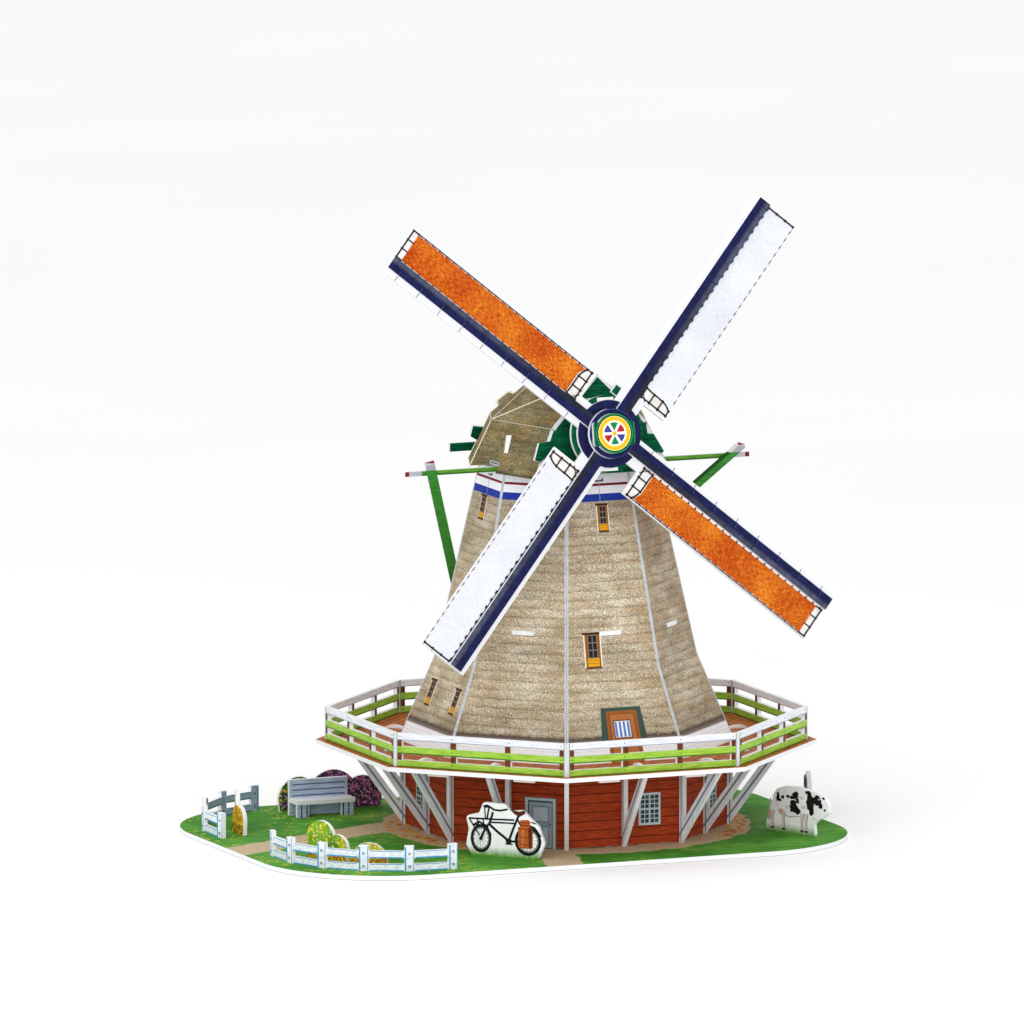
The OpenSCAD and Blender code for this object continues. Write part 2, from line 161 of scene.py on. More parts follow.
class Paint:
    """A procedural material; lengths in its graph are millimetres of the object's own space."""

    def __init__(self, name, rough=0.6, specular=0.1):
        self.material = bpy.data.materials.new(name)
        self.material.use_nodes = True
        self.tree = self.material.node_tree
        self.shader = self.tree.nodes["Principled BSDF"]
        self.shader.inputs["Roughness"].default_value = rough
        self.shader.inputs["Specular IOR Level"].default_value = specular
        coords = self.node("ShaderNodeTexCoord")
        self.place = self.vector("SCALE", coords.outputs["Object"], 1 / MM)
        self.normal = coords.outputs["Normal"]

    def node(self, kind, **settings):
        made = self.tree.nodes.new(kind)
        for key, value in settings.items():
            setattr(made, key, value)
        return made

    def plug(self, socket, value):
        if isinstance(value, Value):
            self.tree.links.new(value.socket, socket)
        elif isinstance(value, bpy.types.NodeSocket):
            self.tree.links.new(value, socket)
        elif isinstance(value, str):
            socket.default_value = rgb(value)
        else:
            socket.default_value = value

    def math(self, operation, *values, clamp=False):
        made = self.node("ShaderNodeMath", operation=operation, use_clamp=clamp)
        for i, value in enumerate(values):
            self.plug(made.inputs[i], value)
        return Value(self, made.outputs[0])

    def vector(self, operation, first, second):
        made = self.node("ShaderNodeVectorMath", operation=operation)
        self.plug(made.inputs[0], first)
        self.plug(made.inputs["Scale" if operation == "SCALE" else 1], second)
        return made.outputs["Value" if operation == "DOT_PRODUCT" else "Vector"]

    def dot(self, vector, direction):
        return Value(self, self.vector("DOT_PRODUCT", vector, direction))

    def along(self, direction, origin=(0, 0, 0)):
        """Distance of the shaded point from the origin along a direction."""
        return self.dot(self.place, direction) - Vector(origin).dot(Vector(direction))

    def height(self, base=0.0):
        return self.along(UP, UP * base)

    def facing(self, direction):
        return self.dot(self.normal, direction)

    def sides(self, direction, sharp=0.8):
        """1 on the two flat sides of a board whose normal is given, 0 on its cut edges."""
        return abs(self.facing(direction)).above(sharp, 0.05)

    def texture(self, kind, vector, **settings):
        made = self.node(kind)
        self.plug(made.inputs["Vector"], vector)
        for key, value in settings.items():
            made.inputs[key].default_value = value
        return made.outputs

    def noise(self, scale, detail=2.0, stretch=(1, 1, 1), roughness=0.55):
        """Noise with a mean of 0.5; scale is in features per millimetre."""
        place = self.vector("MULTIPLY", self.place, stretch)
        made = self.texture("ShaderNodeTexNoise", place, Scale=scale, Detail=detail, Roughness=roughness)
        return Value(self, made["Fac"])

    def strokes(self, x, y, along_x, along_y):
        """Noise over a plane, with its own number of features per millimetre along x and y."""
        joined = self.node("ShaderNodeCombineXYZ")
        self.plug(joined.inputs[0], x * along_x)
        self.plug(joined.inputs[1], y * along_y)
        made = self.texture("ShaderNodeTexNoise", joined.outputs[0], Scale=1.0, Detail=3.0, Roughness=0.65)
        return Value(self, made["Fac"])

    def cells(self, scale, stretch=(1, 1, 1)):
        """(distance from the middle of a random cell, random number of that cell)."""
        made = self.texture("ShaderNodeTexVoronoi", self.vector("MULTIPLY", self.place, stretch), Scale=scale)
        split = self.node("ShaderNodeSeparateColor")
        self.plug(split.inputs[0], made["Color"])
        return Value(self, made["Distance"]), Value(self, split.outputs[0])

    def mix(self, amount, first, second):
        made = self.node("ShaderNodeMix", data_type="RGBA")
        self.plug(made.inputs[0], amount)
        self.plug(made.inputs[6], first)
        self.plug(made.inputs[7], second)
        return Value(self, made.outputs[2])

    def over(self, colour, *layers):
        """The colour with (mask, colour) layers put over it in turn."""
        for mask, layer in layers:
            colour = self.mix(mask, colour, layer)
        return colour

    def ramp(self, amount, *stops):
        """Colour that runs through (position, colour) stops."""
        made = self.node("ShaderNodeValToRGB")
        self.plug(made.inputs[0], amount)
        elements = made.color_ramp.elements
        while len(elements) < len(stops):
            elements.new(0.5)
        for element, (position, colour) in zip(elements, stops):
            element.position = position
            element.color = rgb(colour)
        return Value(self, made.outputs[0])

    def shade(self, colour, amount):
        """Darkens a colour by a number from 0, black, to 1, unchanged."""
        return Value(self, self.vector("SCALE", colour, amount))

    def edges(self, printed, print_mask, colour):
        """The print where its mask is 1, and the board's speckled white cut edge elsewhere."""
        fibre = self.noise(1.6, 3, (1, 1, 2.5))
        cut = self.ramp(fibre, (0.3, "#e2e4e8"), (0.62, colour))
        return self.mix(print_mask, cut, printed)

    def finish(self, colour, height=None, depth=0.05):
        """Connects the colour, and a relief of the given depth in millimetres."""
        self.plug(self.shader.inputs["Base Color"], colour)
        if height is not None:
            bump = self.node("ShaderNodeBump")
            bump.inputs["Strength"].default_value = 0.5
            bump.inputs["Distance"].default_value = depth * MM
            self.plug(bump.inputs["Height"], height)
            self.plug(self.shader.inputs["Normal"], bump.outputs[0])
        return self.material

    def coat(self, colour, printed, relief, depth, *nodes, edge="#f4f5f7"):
        """Gives CAD nodes the print where its mask is 1, and the cut edge elsewhere."""
        give(self.finish(self.edges(colour, printed, edge), relief, depth), *nodes)


def give(material, *nodes):
    """Puts a material in every material slot of the CAD nodes."""
    for name in nodes:
        node = NODES[name]
        if not node.material_slots:
            node.data.materials.append(material)
        for place in node.material_slots:
            place.material = material


def outward(i):
    """Unit vector out of octagon face i; face 0 is the front."""
    return Vector((math.sin(TURN * i), -math.cos(TURN * i), 0))


def sideways(i):
    """Unit vector along octagon face i, to the right as seen from outside."""
    return Vector((math.cos(TURN * i), math.sin(TURN * i), 0))


# ---- Printed boards ----
def thatch(paint, z, dark, middle, light, course=4.05, rows_depth=0.44):
    """Reed in courses: short speckled strokes, darker along the foot of every course."""
    speckle = paint.noise(1.9, 3, (1.0, 1.0, 0.9), 0.8)
    patches = paint.noise(0.05, 2, (1, 1, 2.0))
    streaks = paint.noise(0.25, 2, (0.4, 0.4, 1.8), 0.6)
    level = speckle * 0.8 + patches * 0.22 + streaks * 0.14
    colour = paint.ramp(level, (0.45, dark), (0.58, middle), (0.71, light))
    rows = (z / course + paint.noise(0.07, 3) * 0.5).fraction()
    foot = rows.below(0.08, 0.34) * paint.noise(0.3, 2, (0.5, 0.5, 1.0)).above(0.25, 0.3)
    tone = foot * -rows_depth + rows.above(0.5, 0.4) * 0.1 + 1.0
    warm = paint.noise(0.1, 3, (0.7, 0.7, 1.8), 0.7).above(0.56, 0.16)
    colour = paint.mix(warm * 0.24, colour, "#b07d3c")
    return paint.shade(colour, tone), speckle - foot * 0.5


def tower_paint(i):
    paint = Paint(f"tower_print_{i + 1}", 0.7)
    x, d, z = paint.along(sideways(i)), paint.along(outward(i)), paint.height()
    reed, relief = thatch(paint, z, "#74664e", "#b2a58a", "#f4eddc")
    low_shade = z.below(60, 16) * -0.2 + 1.0
    high_shade = z.above(132, 50) * -0.22 + 1.0
    bend_shade = abs(z - 88).below(6, 9) * -0.14 + 1.0
    side_shade = 1.0 - paint.facing(sideways(0)).above(0.55, 0.3) * 0.12
    reed = paint.shade(reed, low_shade * high_shade * bend_shade * side_shade)
    past_seam = abs(x) - d * math.tan(HALF)
    # Brownish painted shade, growing towards the corners between faces.
    seam_shade = past_seam.above(-9.0, 14.0) * paint.noise(0.2, 3, (1, 1, 2.0), 0.7)
    reed = paint.mix(seam_shade * 0.42, reed, "#9a7442")
    brick_row = (z / 1.55).floor()
    mortar = (z / 1.55).fraction().below(0.12, 0.14)
    joint = (x / 3.4 + brick_row * 0.5).fraction().below(0.06, 0.08)
    brick = paint.mix(mortar.either(joint) * 0.6, "#f6f6f9", "#b9bac6")
    ragged = paint.noise(0.5, 3) * 2.2
    strip = z.above(50.0, 0.4) * (z - ragged).below(51.6, 1.6)
    colour = paint.over(
        reed,
        (z.below(50.2, 0.5), brick),
        (strip, paint.ramp((z - 50) / 2.6, (0.0, "#8d827c"), (0.8, "#54463e"))),
        (z.above(156.2), "#20389a"),
        (z.above(159.5), "#eef0f5"),
        (z.above(163.0), "#7c1c2a"),
        (z.above(164.1), "#e6e8ee"),
        # Grey stripe at each corner: the white foam of the folded groove, greyed as painted shade for its
        # recess.
        (past_seam.above(-0.95, 0.12), paint.ramp(paint.noise(0.6, 2), (0.3, "#aeb6bd"), (0.7, "#ccd2d8"))),
    )
    outer = paint.facing(outward(i)).above(0.55, 0.05)
    paint.coat(colour, outer, relief, 0.12, f"tower_wall_{i + 1}")


def house_paint(p):
    paint = Paint(f"house_print_{p + 1}", 0.6)
    z = paint.height(GROUND)
    boards = z / 4.15 + paint.noise(0.05, 1, (1, 1, 0)) * 0.12
    row = boards.floor()
    groove = boards.fraction().below(0.1, 0.1)
    grain = paint.noise(0.5, 4, (0.35, 0.35, 3.0), 0.65)
    plank = paint.ramp(grain, (0.3, "#863014"), (0.52, "#ac3f1c"), (0.75, "#c45229"))
    plank = paint.shade(plank, (row * 0.37).fraction() * 0.16 + 0.86)
    # Darker towards the top, under the gallery deck: painted shade.
    plank = paint.shade(plank, z.above(33, 9) * -0.22 + 1.0)
    colour = paint.mix(groove, plank, "#54190c")
    _, kind = paint.cells(0.42, (1, 1, 1.3))
    stone = paint.ramp(kind, (0.2, "#7d7468"), (0.5, "#9a8a74"), (0.8, "#5a4c40"))
    colour = paint.mix((z + paint.noise(0.25, 2) * 1.6).below(1.3, 0.4), colour, stone)
    outer = paint.facing(outward(2 * p)).either(paint.facing(outward(2 * p + 1))).above(0.9, 0.05)
    paint.coat(colour, outer, grain - groove, 0.12, f"house_wall_{p + 1}")


def rail_paint(p):
    paint = Paint(f"rail_print_{p + 1}", 0.5)
    z = paint.height(DECK_TOP)
    first, second = 2 * p, 2 * p + 1
    second_face = paint.sides(outward(second), 0.9)
    x, other_x = paint.along(sideways(first)), paint.along(sideways(second))
    x = x + (other_x - x) * second_face
    grain = paint.noise(0.6, 3, (0.25, 0.25, 2.2), 0.6)
    top = RAIL_TOP - DECK_TOP
    green = paint.ramp(grain, (0.3, "#83ad33"), (0.55, "#9fca48"), (0.8, "#bfdf63"))
    white = paint.ramp(grain, (0.3, "#d3d8e2"), (0.6, "#eef0f5"))
    brown = paint.ramp(grain, (0.3, "#4f2416"), (0.7, "#7a3f27"))
    past_corner = abs(x) - RAIL_FACE * math.tan(HALF)
    corner = past_corner.above(-1.5, 0.12)
    colour = paint.over(
        brown,
        (z.between(0, 3.05).either(z.between(5.95, 9.25)), green),
        (z.between(0, 0.45).either(z.between(5.95, 6.5)), "#3f7423"),
        (z.above(top - 3.05), white),
        (z.between(top - 3.05, top - 2.7), "#8f98a6"),
        (corner, "#d5d9dd"),
        (corner * past_corner.below(-1.1, 0.12), "#7f8a86"),
        (z.below(-0.1), "#f1efe6"),
    )
    printed = paint.sides(outward(first), 0.9).either(second_face)
    paint.coat(colour, printed, grain, 0.06, f"railing_{p + 1}")


def deck_paint():
    paint = Paint("deck_print", 0.55)
    d = paint.along(outward(0))
    for i in range(1, FACES):
        d = d.either(paint.along(outward(i)))
    grain = paint.noise(0.35, 4, (1, 1, 1), 0.7)
    planks = d / 3.3
    seam = planks.fraction().below(0.14, 0.1)
    colour = paint.ramp(grain, (0.3, "#7c3a12"), (0.5, "#b26024"), (0.72, "#d98c3e"))
    colour = paint.shade(colour, (planks.floor() * 0.37).fraction() * 0.2 + 0.84)
    colour = paint.mix(seam, colour, "#3d1c0c")
    paint.coat(colour, paint.sides(UP, 0.6), grain - seam, 0.08, "gallery_deck")


def grass_paint():
    """Meadow with strokes and fallen leaves, a sandy path and a sandy ring round the house."""
    paint = Paint("meadow_print", 0.75)
    x, y = paint.along(LATERAL), paint.along(BACK)
    strokes = paint.noise(0.32, 5, (0.35, 1.3, 1), 0.7)
    patches = paint.noise(0.03, 2)
    green = paint.ramp(strokes * 0.5 + patches * 0.5, (0.4, "#3a7a20"), (0.52, "#4d9430"), (0.66, "#74b248"))
    size, kind = paint.cells(0.42)
    leaf_area = paint.noise(0.028, 1, (1, 1, 1)).above(0.5, 0.05) * x.below(20, 30)
    leaf = size.below(0.4, 0.08) * kind.above(0.66, 0.02) * leaf_area
    green = paint.mix(leaf * 0.8, green, paint.ramp(kind, (0.72, "#b8c94a"), (0.9, "#d9b83f")))
    wobble = paint.noise(0.11, 3) * 9 - 4.5
    radius = paint.math("SQRT", x * x + y * y)
    ring = (radius + wobble).below(84.5, 1.2)

    def lane(start, end, wide):
        a, b = Vector((*start, 0)), Vector((*end, 0))
        run = (b - a).normalized()
        across = abs(paint.along((-run.y, run.x, 0), a))
        return (across + wobble * 0.5).below(wide, 1.2) * paint.along(run, a).above(0, 1)

    path = lane((-74, 27), (-190, -24), 10.5).either(lane((-36, -76), (-52, -130), 8.5))
    sand_grain = paint.noise(0.5, 4, (1, 1, 1), 0.8)
    sand = paint.ramp(sand_grain, (0.35, "#b39c7b"), (0.55, "#cbb796"), (0.75, "#ddcfb4"))
    colour = paint.mix(ring.either(path), green, sand)
    foot = (radius + wobble * 0.4).between(72, 82.5, 1.5) * size.below(0.62, 0.12) * kind.above(0.3, 0.05)
    side = x.below(-44, 8).either(x.above(50, 8))
    fallen = paint.ramp(kind, (0.4, "#cf861a"), (0.7, "#f0b828"), (0.9, "#b2561e"))
    colour = paint.mix(foot * side, colour, fallen)
    top = paint.facing(UP).above(0.6)
    paint.coat(colour, top, strokes, 0.1, "base_board")


def plain_board(name, colours, nodes, direction=None, grain_scale=0.35, rough=0.55):
    """One-colour print with grain; cut edges are white where the board's normal is given."""
    paint = Paint(name, rough)
    grain = paint.noise(grain_scale, 4, (1, 1, 1), 0.7)
    colour = paint.ramp(grain, *zip((0.3, 0.52, 0.75), colours))
    if direction is None:
        give(paint.finish(colour, grain, 0.05), *nodes)
    else:
        paint.coat(colour, paint.sides(direction), grain, 0.05, *nodes)


def bracket_axes(j):
    """(direction of bracket j, direction across it, distance of the house wall behind it)."""
    out = heading(22.5 * j - 90)
    return out, UP.cross(out), HOUSE_FACE if j % 2 == 0 else HOUSE_FACE / math.cos(HALF)


def bracket_paint(g):
    """Grey timber print on the brackets' flat sides; every bracket of a group stands on its own radius."""
    paint = Paint(f"bracket_print_{g + 1}", 0.55)
    grain = paint.noise(0.4, 4, (1, 1, 0.3), 0.65)
    colour = paint.ramp(grain, (0.3, "#d3dcea"), (0.52, "#e9eef6"), (0.75, "#f8fafd"))
    side, radius = None, None
    for j in range(4 * g, 4 * g + 4):
        out, across, wall = bracket_axes(j)
        here = abs(paint.along(across)).below(1.3, 0.1) * paint.along(out).above(30, 1)
        flat = here * paint.sides(across)
        reach = here * (paint.along(out) - wall)
        side = flat if side is None else side.either(flat)
        radius = reach if radius is None else radius.either(reach)
    z = paint.height(GROUND)
    slope = radius - z * (BRACKET_REACH / (DECK_LOW - GROUND))
    crease = slope.above(-5.2, 0.1) * slope.between(-3.0, -1.8, 0.2)
    colour = paint.over(colour, (crease, "#7f8a98"), (radius.between(0.9, 1.5, 0.2), "#7f8a98"))
    paint.coat(colour, side, grain, 0.05, f"brackets_{g + 1}", edge="#e6e9ec")


def roof_paint(name, node):
    paint = Paint(name, 0.75)
    z = paint.height()
    reed, relief = thatch(paint, z, "#3a3522", "#676043", "#a89f78", 3.6, 0.3)
    reed = paint.shade(reed, z.below(ROOF_LOW + 1.2, 0.8) * -0.45 + 1.0)
    reach = paint.node("ShaderNodeVectorMath", operation="NORMALIZE")
    paint.plug(reach.inputs[0], paint.vector("SUBTRACT", paint.place, CAP_CORE))
    outer = paint.dot(reach.outputs[0], paint.normal).above(0.25, 0.04)
    rim = paint.facing(SHAFT).above(0.996, 0.004)
    if node != "roof_rear":
        lean = math.radians(12.3)
        rim = rim.either(paint.facing((0, math.cos(lean), math.sin(lean))).above(0.996, 0.004))
    paint.coat(reed, outer * (1.0 - rim), relief, 0.15, node, edge="#d9dade")


def plank_paint(name, nodes, direction, colours=("#033120", "#065234", "#0b6e43")):
    """Dark green boarding with lines across it."""
    paint = Paint(name, 0.6, 0.04)
    up = paint.along(SHAFT_UP, HUB)
    grain = paint.noise(0.5, 4, (0.3, 2, 2), 0.65)
    colour = paint.ramp(grain, *zip((0.3, 0.5, 0.75), colours))
    line = (up / 3.3).fraction().below(0.08, 0.08)
    colour = paint.mix(line * 0.75, colour, "#012215")
    paint.coat(colour, paint.sides(direction), grain - line, 0.06, *nodes, edge="#dfe3e8")


def sail_axes(k):
    """Directions across and along sail k, counted clockwise from the upper right."""
    a = math.radians(40 + 90 * (k - 1))
    return LATERAL * math.cos(a) - SHAFT_UP * math.sin(a), LATERAL * math.sin(a) + SHAFT_UP * math.cos(a)


def sail_paint(k):
    across, length = sail_axes(k)
    orange = k % 2 == 0
    paint = Paint(f"sail_print_{k}", 0.7)
    w, s = paint.along(across, HUB), paint.along(length, HUB)
    weave = paint.strokes(w, s, 0.9, 3.2) * 0.45 + paint.strokes(w - s * 0.12, s, 3.2, 0.5) * 0.55
    folds = paint.noise(0.06, 2, (1, 1, 1))
    level = weave * 1.3 + folds * 0.3
    if orange:
        cloth = paint.ramp(level, (0.69, "#9a2e06"), (0.8, "#c8540e"), (0.92, "#e4942a"))
    else:
        cloth = paint.ramp(level, (0.62, "#cdd0d8"), (0.8, "#e0e2e9"), (0.98, "#eceef2"))
    corner = (w - 12).either(0)
    cloth_area = (s + corner * corner * 0.11).above(CLOTH_FOOT, 0.15) * w.between(1, 17.0, 0.15)
    cloth_area = cloth_area * s.below(CLOTH_TIP if orange else 130.0, 0.15)
    scallop = (s / LACE_STEP).fraction()
    cloth_area = cloth_area * (w + scallop.between(0.3, 0.7, 0.3) * 0.35).below(17.1, 0.15)
    frame_shade = s.between(21.5, 29, 0.2).either(s.between(CLOTH_TIP, 130, 0.2)) * w.between(1.7, 17, 0.2)
    shaded = paint.ramp(paint.noise(0.3, 2), (0.3, "#d9d2cc"), (0.7, "#f3f0ee"))
    board = paint.mix(frame_shade, "#e6e7ea", shaded)
    colour = paint.mix(cloth_area, board, cloth)
    if orange:
        tick = (s / SEAM_STEP + 0.3).fraction().below(0.028, 0.012) * w.below(-4.2)
        colour = paint.mix(tick, colour, "#5c6270")
    paint.coat(colour, paint.sides(SHAFT), level, 0.05, f"sail_{k}")

    paint = Paint(f"stock_print_{k}", 0.45)
    w, s = paint.along(across, HUB), paint.along(length, HUB)
    grain = paint.noise(0.35, 3, (1, 1, 1), 0.6)
    navy = paint.ramp(grain, (0.3, "#10143a"), (0.55, "#181d4c"), (0.8, "#21275c"))
    dark = paint.ramp(grain, (0.3, "#1a1d2b"), (0.7, "#2a2e40"))
    slate = paint.ramp(grain, (0.3, "#3a3e54"), (0.7, "#54586e"))
    colour = paint.mix(w.above(-0.9, 0.8), navy, paint.mix(s.below(62, 70), slate, dark))
    seam = (s / 42.7).fraction().below(0.008, 0.006)
    colour = paint.over(colour, (w.between(-0.75, -0.4, 0.2) * 0.6, "#12142a"), (seam, "#0d0f22"))
    paint.coat(colour, paint.sides(SHAFT), grain, 0.04, f"stock_{k}")


def fence_paint(node):
    """White timber with pale shading; upright faces are printed, tops are cut edges."""
    paint = Paint(f"{node}_print", 0.55)
    grain = paint.noise(0.4, 4, (1, 1, 1.5), 0.7)
    front = paint.ramp(grain, (0.3, "#c3cee0"), (0.5, "#e8edf5"), (0.68, "#fafbfd"))
    back = paint.ramp(grain, (0.3, "#7f97b3"), (0.7, "#a8bbcf"))
    side = paint.dot(paint.vector("SUBTRACT", paint.place, FENCE_CENTRES[node]), paint.normal)
    colour = paint.mix(side.below(-40, 4), front, back)
    printed = abs(side).above(40, 4)
    paint.coat(colour, printed, grain, 0.05, node)


def bench_paint():
    """Pale blue bench: slats with dark gaps on the back, striped legs."""
    paint = Paint("bench_print", 0.5)
    x = paint.along(LATERAL) - edge_of("bench", 0, 0)
    y = paint.along(BACK) - edge_of("bench", 1, 0)
    z = paint.height(GROUND)
    grain = paint.noise(0.4, 4, (0.3, 1, 2), 0.65)
    wood = paint.ramp(grain, (0.3, "#8d9fba"), (0.52, "#abbcd4"), (0.75, "#c9d6e8"))
    slats = (z - 1.1) / 2.55
    gap = slats.fraction().below(0.24, 0.1) * z.between(6, 15.5) * x.between(1.5, 27.1)
    wood = paint.mix(gap * 0.85, wood, "#2f4160")
    seat = paint.ramp(grain, (0.3, "#dbe1ea"), (0.7, "#f3f5f8"))
    colour = paint.mix(z.between(6, 8.1) * y.below(9, 0.3), wood, seat)
    leg = y.below(2.3, 0.2) * z.below(5.9)
    stripe = abs(x - 14.6).between(11.3, 11.9, 0.15).either(abs(x - 14.6).between(8.6, 9.3, 0.15))
    colour = paint.mix(leg * stripe, colour, "#26355f")
    printed = paint.sides(BACK).either(paint.facing(UP).above(0.8, 0.05) * z.below(10))
    paint.coat(colour, printed, grain - gap, 0.08, "bench")


def bush_paint(node, dark, leaf, bloom, second, ground_bloom=None):
    """Leaves and flowers printed as small spots over dark green."""
    paint = Paint(f"{node}_print", 0.65)
    z = paint.height(GROUND)
    x = paint.along(LATERAL)
    size, kind = paint.cells(0.6)
    small, small_kind = paint.cells(1.1)
    patch = paint.noise(0.16, 3)
    base = paint.ramp(patch * 0.7 + small * 0.4, (0.38, dark), (0.62, leaf))
    spots = size.below(0.46, 0.14) * kind.above(0.3, 0.02)
    colour = paint.mix(spots, base, bloom)
    colour = paint.mix(small.below(0.42, 0.12) * small_kind.above(0.58, 0.02), colour, second)
    if ground_bloom:
        low = (z + patch * 6).below(7.0, 1.0) * small.below(0.6, 0.1) * small_kind.above(0.25, 0.02)
        colour = paint.mix(low, colour, ground_bloom)
    if node == "bush_front":
        near = (x + patch * 6).below(edge_of(node, 0, 0) + 13, 3)
        fresh = paint.over(
            paint.ramp(patch, (0.35, "#2f7a1c"), (0.6, "#8fba30")),
            (spots * kind.above(0.5, 0.05), "#e6dc34"),
            (small.below(0.34, 0.1) * small_kind.above(0.7, 0.02), "#f6f6ea"),
        )
        colour = paint.mix(near * z.above(5, 3), colour, fresh)
    if node == "bush_rear":
        flat = paint.sides(BACK)
        left = (x + patch * 3).below(edge_of(node, 0, 0) + 20, 1.5)
        leaves = paint.mix(spots, paint.ramp(patch, (0.35, "#1f4a20"), (0.65, "#3a7a34")), "#d8b04a")
        colour = paint.mix(left * kind.above(0.3, 0.1), colour, leaves)
    else:
        first, second = (90, 70) if node == "bush_left" else (120, -31)
        flat = paint.sides(heading(first + 90), 0.97).either(paint.sides(heading(second + 90), 0.97))
    paint.coat(colour, flat, size, 0.12, node)


def figure_paint(node, angle, body):
    """White board figure with a soft shade, standing in a green tuft."""
    paint = Paint(f"{node}_print", 0.6)
    z = paint.height(GROUND)
    cloud = paint.noise(0.12, 2, (1, 1, 1), 0.5)
    colour = paint.ramp(cloud, (0.3, body[0]), (0.55, body[1]))
    tuft = z + paint.noise(0.5, 3, (1, 1, 0.5)) * 2.0
    blades = paint.ramp(paint.noise(0.8, 3), (0.3, "#3f7a24"), (0.7, "#7fae4a"))
    colour = paint.mix(tuft.below(3.4, 4.0), colour, blades)
    paint.coat(colour, paint.sides(heading(angle + 90)), cloud, 0.03, node)


for face in range(FACES):
    tower_paint(face)
for pair in range(4):
    house_paint(pair)
    rail_paint(pair)
    bracket_paint(pair)
    sail_paint(pair + 1)
deck_paint()
grass_paint()
for side_name in ("left", "right", "rear"):
    roof_paint(f"roof_print_{side_name}", f"roof_{side_name}")
plank_paint("gable_print", ["gable_front", "hub_boss", "collar_ring"], SHAFT)
plank_paint("rear_gable_print", ["gable_rear", "rear_beam"], (0, 1, 0))
plank_paint("tail_print", ["tail_pole"], (1, 0, 0), ("#1d5a1c", "#3f8a2e", "#58a33f"))
inner_boards = ["mid_floor", "tower_top_plate", "cap_floor", "shaft_bearing"]
plain_board("inner_print", ("#e6e8ec", "#f1f2f5", "#fafafc"), inner_boards)
plain_board("spacer_print", ("#e3e4e2", "#eeeeec", "#f6f6f4"), ["collar_spacers"])
plain_board("hub_print", ("#10143a", "#171c4a", "#1f2558"), ["hub_back", "hub_front"], SHAFT)
plain_board("shaft_plastic", ("#3b3d40", "#45474a", "#505356"), ["windshaft", "cap_pin"], None, 1.2, 0.35)
for fence_node in ("fence_front", "fence_side"):
    fence_paint(fence_node)
bench_paint()
bush_paint("bush_left", "#a8701c", "#dcc01e", "#f6e22c", "#c4561c", "#8c3a1c")
bush_paint("bush_front", "#6a8a20", "#d2c82a", "#f2de2a", "#f6f2c0", "#c4561f")
bush_paint("bush_rear", "#20402a", "#54384e", "#b565a6", "#ecaedb")
figure_paint("bicycle", BICYCLE_ANGLE, ("#f1f3f6", "#fbfcfd"))
figure_paint("cow_1", COW_1_ANGLE, ("#f0f0f4", "#fcfcfe"))
figure_paint("cow_2", COW_2_ANGLE, ("#eeeef2", "#fafafc"))


def beam_paint(node):
    """Green beam with a darker lower edge, and grey ends tipped with dark red."""
    paint = Paint(f"{node}_print", 0.6)
    x, z = abs(paint.along(LATERAL)), paint.height()
    grain = paint.noise(0.4, 4, (0.3, 1, 2), 0.65)
    if node == "cross_beam":
        green = paint.ramp(grain, (0.3, "#3f7a22"), (0.55, "#5f9a33"), (0.8, "#78b045"))
        green = paint.mix(z.below(edge_of(node, 2, 0) + 0.7, 0.2), green, "#2f6420")
        tip, red = x.above(BEAM_END - 8.2, 0.3), x.above(BEAM_END - 2.0, 0.3)
    else:
        top = edge_of(node, 2, 1)
        green = paint.ramp(grain, (0.3, "#2c7a2a"), (0.55, "#3d9436"), (0.8, "#56a94a"))
        tip, red = z.above(top - 5.0, 0.3), z.above(top - 1.3, 0.3)
    colour = paint.over(green, (tip, "#b3b7c0"), (red, "#7a2428"))
    if node == "cross_beam":
        paint.coat(colour, paint.sides(BACK), grain, 0.05, node, edge="#f0f0ee")
    else:
        printed = abs(paint.facing(LATERAL)).below(0.5, 0.1)
        colour = paint.mix(printed, paint.mix(tip, "#1f5a22", "#e6e7ea"), colour)
        give(paint.finish(colour, grain, 0.05), node)


for beam in ("cross_beam", "brace_left", "brace_right"):
    beam_paint(beam)


# ---- Printed details: thin inked layers on the boards ----
LAYER = 0.05
SUNK = 0.02
INKS = {}


def ink(colour):
    """Printing ink of one colour with a slight mottle."""
    if colour not in INKS:
        paint = Paint(f"ink_{colour[1:]}")
        mottle = paint.noise(0.9, 3, (1, 1, 1), 0.7)
        tone = (mottle - 0.5) * 0.28 + 1.0
        paint.finish(paint.shade(rgb(colour)[:3], tone), mottle, 0.02)
        INKS[colour] = paint.material
    return INKS[colour]


def add_object(name, data):
    made = bpy.data.objects.new(name, data)
    bpy.context.scene.collection.objects.link(made)
    return made


def plane(origin, across, up, out, offset=0.0):
    """Place for an Inlay: x across and y up from the origin, and a lift outwards."""
    return lambda x, y, lift: origin + across * x + up * y + out * (lift + offset)


